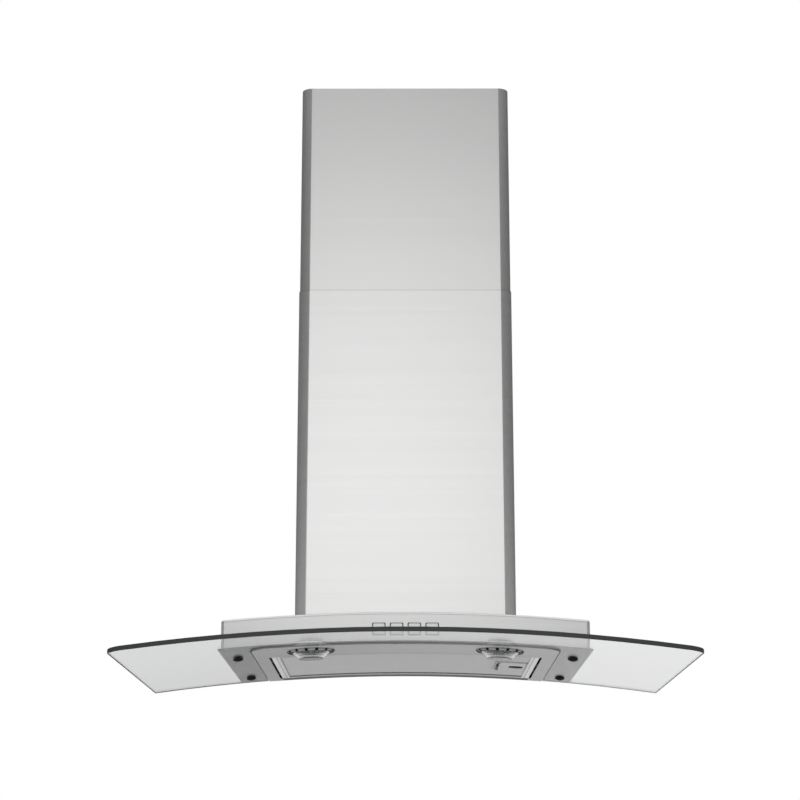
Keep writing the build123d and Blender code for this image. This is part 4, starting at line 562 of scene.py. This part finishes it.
# %% Clear faces and a dark edge
GLASS_TINT = (0.982, 0.995, 0.988)
CANOPY_INDEX = 1.2
EDGE_TINT = (0.042, 0.047, 0.045)
EDGE_NORMAL = 0.93
EDGE_ROUGHNESS = 0.16
SMEAR_CELLS = (6.0, 9.0, 6.0)
SMEAR_ROUGHNESS = 0.035


def canopy_finish():
    """Glass whose transmission falls to none where the surface normal leaves the vertical."""
    finish, tree, shader = new_finish("canopy_glass", GLASS_TINT, 0.02, 0.0, IOR=CANOPY_INDEX)
    geometry = add_node(tree, "NewGeometry")
    split = add_node(tree, "SeparateXYZ")
    tree.links.new(geometry.outputs["True Normal"], split.inputs[0])
    face = calculate(tree, "GREATER_THAN", calculate(tree, "ABSOLUTE", split.outputs["Z"]), EDGE_NORMAL)
    tree.links.new(two_tone(tree, face, EDGE_TINT, GLASS_TINT), shader.inputs["Base Color"])
    tree.links.new(face, shader.inputs["Transmission Weight"])
    smear = rescale(tree, object_noise(tree, SMEAR_CELLS, 4.0), 0.0, SMEAR_ROUGHNESS)
    ground = rescale(tree, face, EDGE_ROUGHNESS, 0.0, 0.0, 1.0)
    tree.links.new(calculate(tree, "MAXIMUM", smear, ground), shader.inputs["Roughness"])
    return finish


dress(canopy_finish(), "glass_canopy")
glass_low, glass_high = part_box("glass_canopy")
print("glass", [round(v, 3) for v in glass_high - glass_low])

# %% [markdown]
# ## The grease filter
# The filter is a frame of folded aluminium round layers of expanded mesh. A bump map could fake the mesh, but
# it would vanish from the side. Expanded metal is one diamond repeated, so a diamond ring of eight flat strips
# is worked out once, copied to every place with arrays, merged where neighbours meet, bent onto the arch of the
# hood and given its thickness. The front strand of each diamond dips and the rear one rises, as slitting and
# stretching the sheet leaves them.

# %% Sizes of the mesh and the arch it follows
DIAMOND_LENGTH, DIAMOND_WIDTH = 0.012, 0.006
STRAND_TILT = 0.00022

mesh_low, mesh_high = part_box("filter_face_mesh")
cup_low, cup_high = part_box("latch_cup")
diamond_half = np.array((DIAMOND_LENGTH, DIAMOND_WIDTH)) / 2


def on_arch(x, level):
    """Height of a point: a circle of the arch's radius plus its level, with its crown at the housing's top."""
    return np.sqrt((ARCH_RADIUS + level) ** 2 - x ** 2) - ARCH_RADIUS - ARCH_DROP


mesh_radius = np.hypot(mesh_low.x, mesh_low.z + ARCH_DROP + ARCH_RADIUS)
mesh_level = mesh_radius - ARCH_RADIUS + 2 * STRAND_TILT
print("mesh lies at level", round(mesh_level * 1000, 2), "mm")

# %% One diamond, copied everywhere
OPENING_SHARE = 0.66
OPENING_STRETCH = (1.02, 0.86)
OPENING_CORNER = 0.86
LATCH_CLEARANCE = 0.0006


def diamond_ring():
    """Eight points round a diamond and eight round its opening, with the rise of each opening point."""
    turn = np.arange(8) * np.pi / 4
    outer = np.array([(1, 0), (0.5, 0.5), (0, 1), (-0.5, 0.5), (-1, 0), (-0.5, -0.5), (0, -1), (0.5, -0.5)])
    inner = OPENING_SHARE * np.stack((np.cos(turn), np.sin(turn)), -1) * OPENING_STRETCH
    inner[1::2] *= OPENING_CORNER
    rise = np.concatenate((np.zeros(8), STRAND_TILT * np.sin(turn)))
    return np.concatenate((outer, inner)) * diamond_half, rise


def diamond_places():
    """Centres of the two interleaved rows of diamonds that fit in the frame and stay off the latch."""
    x = np.arange(mesh_low.x + DIAMOND_LENGTH, mesh_high.x - DIAMOND_LENGTH / 2, DIAMOND_LENGTH / 2)
    y = np.arange(mesh_low.y + DIAMOND_WIDTH, mesh_high.y - DIAMOND_WIDTH / 2, DIAMOND_WIDTH / 2)
    column, row = np.meshgrid(np.arange(len(x)), np.arange(len(y)), indexing="ij")
    places = np.stack((x[column], y[row]), -1)[(column + row) % 2 == 0]
    reach = diamond_half + LATCH_CLEARANCE
    beside = (places[:, 0] + reach[0] < cup_low.x) | (places[:, 1] - reach[1] > cup_high.y)
    beside |= places[:, 1] + reach[1] < cup_low.y
    return places[beside]


ring, ring_rise = diamond_ring()
places = diamond_places()
print("diamonds:", len(places))

# %% The net and the plain strip round the latch
STRIP_WIDTH = 0.0075
STRIP_GAP = 0.0004
STRIP_STEPS = 40
MERGE_SCALE = 1e6


def net_of_diamonds():
    """All rings as one flat net: points moved to every place, then equal points merged by rounded values."""
    points = (places[:, None, :] + ring[None, :, :]).reshape(-1, 2)
    heights = np.tile(ring_rise, len(places))
    k = np.arange(8)
    ring_faces = np.stack((k, (k + 1) % 8, (k + 1) % 8 + 8, k + 8), -1)
    faces = (np.arange(len(places))[:, None, None] * len(ring) + ring_faces).reshape(-1, 4)
    rounded = np.round(points * MERGE_SCALE).astype(np.int64)
    _, first, back = np.unique(rounded, axis=0, return_index=True, return_inverse=True)
    return points[first], heights[first], back.ravel()[faces]


def latch_strip():
    """A flat strip that follows three sides of the latch: one parameter runs along it, the other across."""
    left, right = cup_low.x, mesh_high.x
    corners = np.array([(right, cup_low.y), (left, cup_low.y), (left, cup_high.y), (right, cup_high.y)])
    outwards = np.array([(0, -1), (-1, -1), (-1, 1), (0, 1)])
    inside = corners + STRIP_GAP * outwards
    outside = inside + STRIP_WIDTH * outwards
    along = np.linspace(0, 3, 3 * STRIP_STEPS + 1)
    edges = [
        np.stack([np.interp(along, range(4), line[:, axis]) for axis in (0, 1)], -1) for line in (outside, inside)
    ]
    points = np.stack(edges, 1).reshape(-1, 2)
    return points, np.zeros(len(points)), grid_faces(len(along), 2)[:, ::-1]


def side_by_side(*nets):
    """Several nets as one, with the numbers of later points moved up."""
    starts = np.cumsum([0] + [len(net[0]) for net in nets[:-1]])
    faces = np.concatenate([net[2] + start for net, start in zip(nets, starts)])
    return np.concatenate([net[0] for net in nets]), np.concatenate([net[1] for net in nets]), faces


net = side_by_side(net_of_diamonds(), latch_strip())
print("net points:", len(net[0]), "faces:", len(net[2]))

# %% The thickness
MESH_SHEET = 0.0005


def two_layers(faces, total):
    """Faces of a lower and an upper copy of a net, joined by a wall along every edge that only one face uses."""
    edges = np.stack((faces, np.roll(faces, -1, axis=1)), -1).reshape(-1, 2)
    _, back, count = np.unique(np.sort(edges, 1), axis=0, return_inverse=True, return_counts=True)
    rim = edges[count[back.ravel()] == 1]
    walls = np.column_stack((rim[:, 1], rim[:, 0], rim[:, 0] + total, rim[:, 1] + total))
    return np.concatenate((faces[:, ::-1], faces + total, walls[:, ::-1]))


def thickened(points, heights, faces):
    """The net laid on the arch twice, the upper copy one sheet's thickness above the lower."""
    levels = [mesh_level + heights + lift for lift in (0.0, MESH_SHEET)]
    layers = [np.column_stack((points, on_arch(points[:, 0], level))) for level in levels]
    return np.concatenate(layers), two_layers(faces, len(points))


mesh_points, mesh_faces = thickened(*net)
print("mesh points:", len(mesh_points), "faces:", len(mesh_faces))

# %% Aluminium of the mesh
MESH_TONES = (0.47, 0.47, 0.475), (0.55, 0.55, 0.555)
ALUMINIUM_SWING = 0.06


def even_finish(name, tones, roughness, metallic, cells, height, swing=0.05, **sockets):
    """A surface with even texture: tone, roughness and relief all follow one noise of so many cells a metre."""
    finish, tree, shader = new_finish(name, tones[1], roughness, metallic, **sockets)
    grain = object_noise(tree, (cells, cells, cells), 3.0)
    tree.links.new(two_tone(tree, rescale(tree, grain, 0, 1), *tones), shader.inputs["Base Color"])
    tree.links.new(rescale(tree, grain, roughness - swing, roughness + swing), shader.inputs["Roughness"])
    relief(tree, shader, grain, height)
    return finish


mesh_aluminium = even_finish("mesh_aluminium", MESH_TONES, 0.36, 1.0, 900, 4e-6, ALUMINIUM_SWING)
filter_mesh = mesh_object("filter_expanded_mesh", mesh_points, mesh_faces, mesh_aluminium, smooth=False)
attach(filter_mesh, "filter")
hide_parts("filter_face_mesh")
print("filter mesh faces:", len(filter_mesh.data.polygons))

# %% [markdown]
# ## The filter's frame and pack
# The frame is aluminium strip folded into channels that hold the layers of mesh by their edges. The channels
# along the front and rear face away from the light and the side channels catch it, so one even finish is made and
# given painted shade in bands across the width: the front and rear channels, the inner half of each side channel,
# a fine dark line where a channel's lip meets the mesh, and near-black hooks in the gap beside the filter. The
# pack behind the open mesh is many crossed strands, so its noise is coarse and deep, and its colour is painted
# darker in its hollows as the shade between the strands.

# %% Bands of the frame
CHANNEL_START, LIP_START, LIP_END, FRAME_REACH = 0.1708, 0.1752, 0.1762, 0.25
# Painted shade in bands across the frame: each band's colour is multiplied by its share.
FRAME_SHADE_BANDS = {
    "front_and_rear": (0.0, CHANNEL_START, 0.62),
    "side_channels": (CHANNEL_START, LIP_END, 0.88),
    "lip_line": (LIP_START, LIP_END, 0.5),
    "hooks": (FILTER_HALF, FRAME_REACH, 0.05),
}
FRAME_TONES = (0.8, 0.8, 0.8), (0.86, 0.86, 0.86)
# Painted shade: the pack's tone follows its relief and is darkest in the hollows between the strands.
PACK_SHADED_TONES = (0.12, 0.12, 0.125), (0.42, 0.42, 0.43)

frame_aluminium = even_finish("frame_aluminium", FRAME_TONES, 0.42, 1.0, 120, 3e-6, ALUMINIUM_SWING)
for low, high, share in FRAME_SHADE_BANDS.values():
    shade(frame_aluminium, band(frame_aluminium.node_tree, "X", low, high), share)
pack_aluminium = even_finish("pack_aluminium", PACK_SHADED_TONES, 0.5, 1.0, 380, 3e-4, ALUMINIUM_SWING)
dress(frame_aluminium, "filter_frame")
dress(pack_aluminium, "filter_mesh_pack", "filter_face_mesh")
print("frame bands:", list(FRAME_SHADE_BANDS))

# %% [markdown]
# ## The latch spring
# Behind the latch's sliding plate a bowed leaf of steel pushes the tongues out. When a finger pulls the plate,
# the leaf is pressed flat against its cup. A solid leaf would be cut through by the tongues, so the leaf is made
# again as a strip along an arc.

# %% A bowed leaf
LEAF = 0.0006
LEAF_STEPS = 33

leaf_low, leaf_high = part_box("latch_spring")
leaf_middle = (leaf_low + leaf_high) / 2


def bowed_leaf():
    """A strip along a circle's arc: the arc turns about an upright axis, and four corners are carried along it."""
    bow = leaf_high.x - leaf_low.x - LEAF
    chord = leaf_high.y - leaf_low.y - LEAF
    radius = (chord ** 2 / 4 + bow ** 2) / (2 * bow)
    half = np.arcsin(chord / 2 / radius)
    turn = np.linspace(-half, half, LEAF_STEPS)[:, None]
    reach = radius + LEAF / 2 * np.array((-1, 1, 1, -1))
    x = leaf_high.x - LEAF / 2 - radius + reach * np.cos(turn)
    y = leaf_middle.y + reach * np.sin(turn)
    z = np.broadcast_to((leaf_low.z, leaf_low.z, leaf_high.z, leaf_high.z), x.shape)
    return np.stack((x, y, z), -1).reshape(-1, 3)


def strip_faces(rows):
    """Sides of a four-cornered strip, wrapped round its corners, and a face at each end."""
    index = np.arange(rows * 4).reshape(rows, 4)
    after = np.roll(index, -1, axis=1)
    sides = np.stack((index[:-1], index[1:], after[1:], after[:-1]), -1).reshape(-1, 4)
    return np.concatenate((sides, index[:1], index[-1:, ::-1]))


leaf = mesh_object("latch_leaf_spring", bowed_leaf(), strip_faces(LEAF_STEPS), latch_steel, smooth=False)
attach(leaf, "filter")
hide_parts("latch_spring")
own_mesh(leaf)
print("leaf bowed by", round((leaf_high.x - leaf_low.x) * 1000, 1), "mm")

# %% [markdown]
# ## Lamps
# Each lamp is a chromed ring that holds a pressed glass lens over a small capsule bulb in a steel can. The lens
# is clear with fine rings pressed into it, so it needs real refraction and a shallow ring pattern centred on
# the lamp. The chrome is smooth and dark, with only a trace of haze. Dark matt sectors round its rim stand for
# finger notches: they are painted shade in sectors of the angle round the lamp's axis, so they are counted and not
# drawn.

# %% Pressed lens
LENS_TINT = (0.93, 0.94, 0.94)
LENS_SCALE = 98.676
LENS_RELIEF = 2e-5
WAVE_TURN = 20
HAZE_CELLS = (300, 300, 300)
HAZE_LOW, HAZE_HIGH = 0.12, 0.2


def lamp_coords(tree, node):
    """Object coordinates measured from the upright axis through the middle of a lamp's node."""
    low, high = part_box(node)
    middle = (low + high) / 2
    return placed_coords(tree, place=(-middle.x, -middle.y, 0))


def lens_finish(side):
    """Clear glass with pressed rings round the lamp's own axis."""
    finish, tree, shader = new_finish(
        f"lens_glass_{side}", LENS_TINT, 0.06, 0.0, IOR=1.5, Transmission_Weight=1.0
    )
    rings = add_node(tree, "TexWave", wave_type="RINGS", rings_direction="Z")
    rings.inputs["Scale"].default_value = LENS_SCALE
    tree.links.new(lamp_coords(tree, f"lamp_lens_{side}"), rings.inputs["Vector"])
    relief(tree, shader, rings.outputs["Fac"], LENS_RELIEF)
    haze = rescale(tree, object_noise(tree, HAZE_CELLS, 2.0), HAZE_LOW, HAZE_HIGH)
    tree.links.new(haze, shader.inputs["Roughness"])
    return finish


for side in ("left", "right"):
    dress(lens_finish(side), f"lamp_lens_{side}")
print("lens rings", round(2 * math.pi / WAVE_TURN / LENS_SCALE * 1000, 1), "mm apart")

# %% Chromed ring with notches
CHROME_TONES = (0.3, 0.3, 0.3), (0.36, 0.36, 0.36)
CHROME_TINT = (0.4, 0.4, 0.4, 1)
NOTCH_COUNT = 14
NOTCH_SHARE = 0.3
NOTCH_PAINTED_SHADE = 0.05


def notches(tree, node):
    """One in evenly spaced sectors round a lamp's upright axis, else nothing."""
    turn = add_node(tree, "TexGradient", gradient_type="RADIAL")
    tree.links.new(lamp_coords(tree, node), turn.inputs["Vector"])
    sector = calculate(tree, "FRACT", calculate(tree, "MULTIPLY", turn.outputs["Fac"], NOTCH_COUNT))
    return calculate(tree, "LESS_THAN", sector, NOTCH_SHARE)


def ring_chrome(side):
    """Dark chrome with painted shade in sectors that stand for finger notches round its rim."""
    finish = even_finish(
        f"lamp_chrome_{side}", CHROME_TONES, 0.2, 1.0, 60, 1e-6, 0.03, Specular_Tint=CHROME_TINT
    )
    sectors = notches(finish.node_tree, f"lamp_ring_{side}")
    # Painted shade: the notch sectors are darkened and made matt; the ring has no notches in its geometry.
    shade(finish, sectors, NOTCH_PAINTED_SHADE)
    matt_where(finish, sectors, MATT_ROUGHNESS)
    return finish


for side in ("left", "right"):
    dress(ring_chrome(side), f"lamp_ring_{side}")
print("notches on each ring:", NOTCH_COUNT)

# %% Can and bulb
CAN_TONES = (0.42, 0.42, 0.42), (0.5, 0.5, 0.5)
BULB_TONES = (0.85, 0.87, 0.88), (0.93, 0.94, 0.94)

can_steel = even_finish("can_steel", CAN_TONES, 0.3, 1.0, 90, 2e-6)
bulb_glass = even_finish("bulb_glass", BULB_TONES, 0.12, 0.0, 200, 1e-5, IOR=1.5, Transmission_Weight=0.8)
dress(can_steel, "lamp_can_left", "lamp_can_right")
dress(bulb_glass, "lamp_bulb_left", "lamp_bulb_right")
print("lamps dressed")

# %% [markdown]
# ## Buttons, caps and rubber
# The four push buttons are satin metal in a black collar. Black caps cover the nuts under the glass, and rubber
# bushes keep the bolts off it. Moulded parts have a fine spark-eroded grain, rubber a coarser and duller one,
# and the latch's tongues are black metal whose darkness also stands for the shade of the gap they cross. All of
# them are the same even finish with other numbers, so the numbers stand in one table: tones, roughness,
# metalness, cells a metre and the height of the relief.

# %% Button metal, black plastics and rubber
MOULDED = {
    "button_metal": (((0.7, 0.7, 0.7), (0.78, 0.78, 0.78)), 0.3, 1.0, 1500, 2e-6),
    "black_plastic": (((0.018, 0.018, 0.019), (0.032, 0.032, 0.033)), 0.5, 0.0, 1400, 9e-6),
    "grey_plastic": (((0.42, 0.42, 0.422), (0.48, 0.48, 0.482)), 0.5, 0.0, 1400, 9e-6),
    # Painted shade: the tongues are near-black so that they read as the shade of the gap beside the filter.
    "gap_shade_black_steel": (((0.02, 0.02, 0.021), (0.034, 0.034, 0.035)), 0.5, 1.0, 600, 4e-6),
    "bush_rubber": (((0.006, 0.006, 0.006), (0.013, 0.013, 0.012)), 0.75, 0.0, 700, 1.5e-5),
}
MOULDED_NODES = {
    "button_metal": ("button_1", "button_2", "button_3", "button_4"),
    "black_plastic": (
        "button_bezel", "switch_block", "impeller", "terminal_box", "terminal_box_lid", "cable_gland",
        "outlet_collar", "damper_flap_left", "damper_flap_right",
    ),
    "grey_plastic": ("latch_cup",),
    "gap_shade_black_steel": ("latch_tongue",),
    "bush_rubber": ("glass_bushes",),
}
for name, numbers in MOULDED.items():
    dress(even_finish(name, *numbers), *MOULDED_NODES[name])
print("moulded finishes:", list(MOULDED))

# %% [markdown]
# ## Domed caps
# Each nut under the glass wears a moulded cap, a low dome that meets the glass in a round edge. A scaled sphere
# would do, but its poles crowd the faces. A square grid pressed into a disc has none: it is raised to a parabola
# in section, closed by a flat copy at the seat, and set square to the glass at each of the four bolts.

# %% One dome and its seat
CAP_RADIUS, CAP_HEIGHT, CAP_RIM = 0.0074, 0.0028, 0.0002
CAP_STEPS = 17


def dome_layers():
    """Depth under the seat: a rim plus a parabola's height, one less the radius squared, then a flat copy."""
    flat, faces = round_grid(CAP_STEPS)
    crown = 1 - (flat ** 2).sum(1)
    depth = np.concatenate((CAP_RIM + (CAP_HEIGHT - CAP_RIM) * crown, np.zeros(len(flat))))
    return np.column_stack((CAP_RADIUS * np.tile(flat, (2, 1)), -depth)), two_layers(faces, len(flat))


dome, dome_faces = dome_layers()
print("dome", CAP_HEIGHT * 1000, "mm high with", len(dome_faces), "faces")

# %% Four domes on the bolts
CAP_LEVEL = -0.001
BOLT_SIDE, BOLT_FRONT, BOLT_REAR = 0.2265, -0.29, -0.057
BOLT_PLACES = np.array([(x, y) for x in (-BOLT_SIDE, BOLT_SIDE) for y in (BOLT_FRONT, BOLT_REAR)])
CAP_TONES = (0.002, 0.002, 0.002), (0.004, 0.004, 0.004)


def square_to_glass(points):
    """Copies at every bolt, turned so that their own upright lies along the arch's radius there."""
    tilt = np.arcsin(BOLT_PLACES[:, 0] / ARCH_RADIUS)[:, None]
    reach = ARCH_RADIUS + CAP_LEVEL + points[None, :, 2]
    x = reach * np.sin(tilt) + points[None, :, 0] * np.cos(tilt)
    z = reach * np.cos(tilt) - points[None, :, 0] * np.sin(tilt) - ARCH_RADIUS - ARCH_DROP
    y = BOLT_PLACES[:, 1:] + points[None, :, 1]
    return np.stack((x, y, z), -1).reshape(-1, 3)


black_caps = even_finish("black_caps", CAP_TONES, 0.6, 0.0, 1800, 6e-6, Specular_IOR_Level=0.1)
dress(black_caps, "glass_cap_nuts")
copies = np.arange(len(BOLT_PLACES))[:, None, None] * len(dome)
cap_faces = (copies + dome_faces).reshape(-1, 4)
caps = mesh_object("glass_cap_domes", square_to_glass(dome), cap_faces, black_caps)
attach(caps, "hood")
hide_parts("glass_cap_nuts")
print("caps:", len(BOLT_PLACES), "faces:", len(caps.data.polygons))

# %% [markdown]
# ## Galvanised sheet, zinc and the motor
# Inside the chimney the blower sits in a box of galvanised sheet. Zinc freezes on steel in feathery flakes, so
# cells of a Voronoi pattern, each with its own tone and its own slight change of gloss, stand for the spangle.
# Screws and pins are plated brighter, and the motor wears a dark stoved enamel.

# %% Spangled zinc
SPANGLE_CELLS = 110.0
SPANGLE_DARK, SPANGLE_LIGHT = (0.46, 0.47, 0.48), (0.6, 0.61, 0.62)
SPANGLE_SMOOTH, SPANGLE_ROUGH = 0.32, 0.5
SHEET_WAVES = (40, 40, 40)


def galvanised_finish():
    """Grey metal in flakes: each Voronoi cell gives one tone and one roughness."""
    finish, tree, shader = new_finish("galvanised_sheet", (0.5, 0.51, 0.52), 0.4, 1.0)
    coords = add_node(tree, "TexCoord")
    flakes = add_node(tree, "TexVoronoi")
    flakes.inputs["Scale"].default_value = SPANGLE_CELLS
    split = add_node(tree, "SeparateColor")
    tree.links.new(coords.outputs["Object"], flakes.inputs["Vector"])
    tree.links.new(flakes.outputs["Color"], split.inputs[0])
    tone = split.outputs[0]
    tree.links.new(two_tone(tree, tone, SPANGLE_DARK, SPANGLE_LIGHT), shader.inputs["Base Color"])
    gloss = rescale(tree, tone, SPANGLE_SMOOTH, SPANGLE_ROUGH, 0.0, 1.0)
    tree.links.new(gloss, shader.inputs["Roughness"])
    relief(tree, shader, object_noise(tree, SHEET_WAVES, 2.0), 2e-5)
    return finish


dress(
    galvanised_finish(), "back_plate", "motor_box", "scroll_wrapper", "scroll_side_left", "scroll_side_right",
    "motor_bracket", "upper_wall_bracket", "lower_chimney_tabs", "capacitor_clip", "switch_strip",
)
print("flakes about", round(1000 / SPANGLE_CELLS), "mm wide")

# %% Plated screws, enamel and the capacitor
ZINC_TONES = (0.6, 0.6, 0.58), (0.7, 0.7, 0.68)
ENAMEL_TONES = (0.03, 0.031, 0.033), (0.05, 0.051, 0.054)
CREAM_TONES = (0.72, 0.71, 0.67), (0.78, 0.77, 0.73)

dress(
    even_finish("zinc_plate", ZINC_TONES, 0.3, 1.0, 250, 4e-6), "glass_bolts", "motor_box_screws",
    "motor_bracket_screws", "outlet_collar_screws", "upper_chimney_screws", "lower_chimney_screws",
    "motor_shaft", "impeller_nut", "damper_pin",
)
dress(even_finish("motor_enamel", ENAMEL_TONES, 0.35, 0.0, 260, 2e-5, Coat_Weight=0.3), "motor_body")
dress(even_finish("capacitor_shell", CREAM_TONES, 0.4, 0.0, 500, 6e-6), "capacitor")
worn = {node.data.materials[0].name for node in nodes.values()}
print("finishes on the CAD nodes:", len(worn))
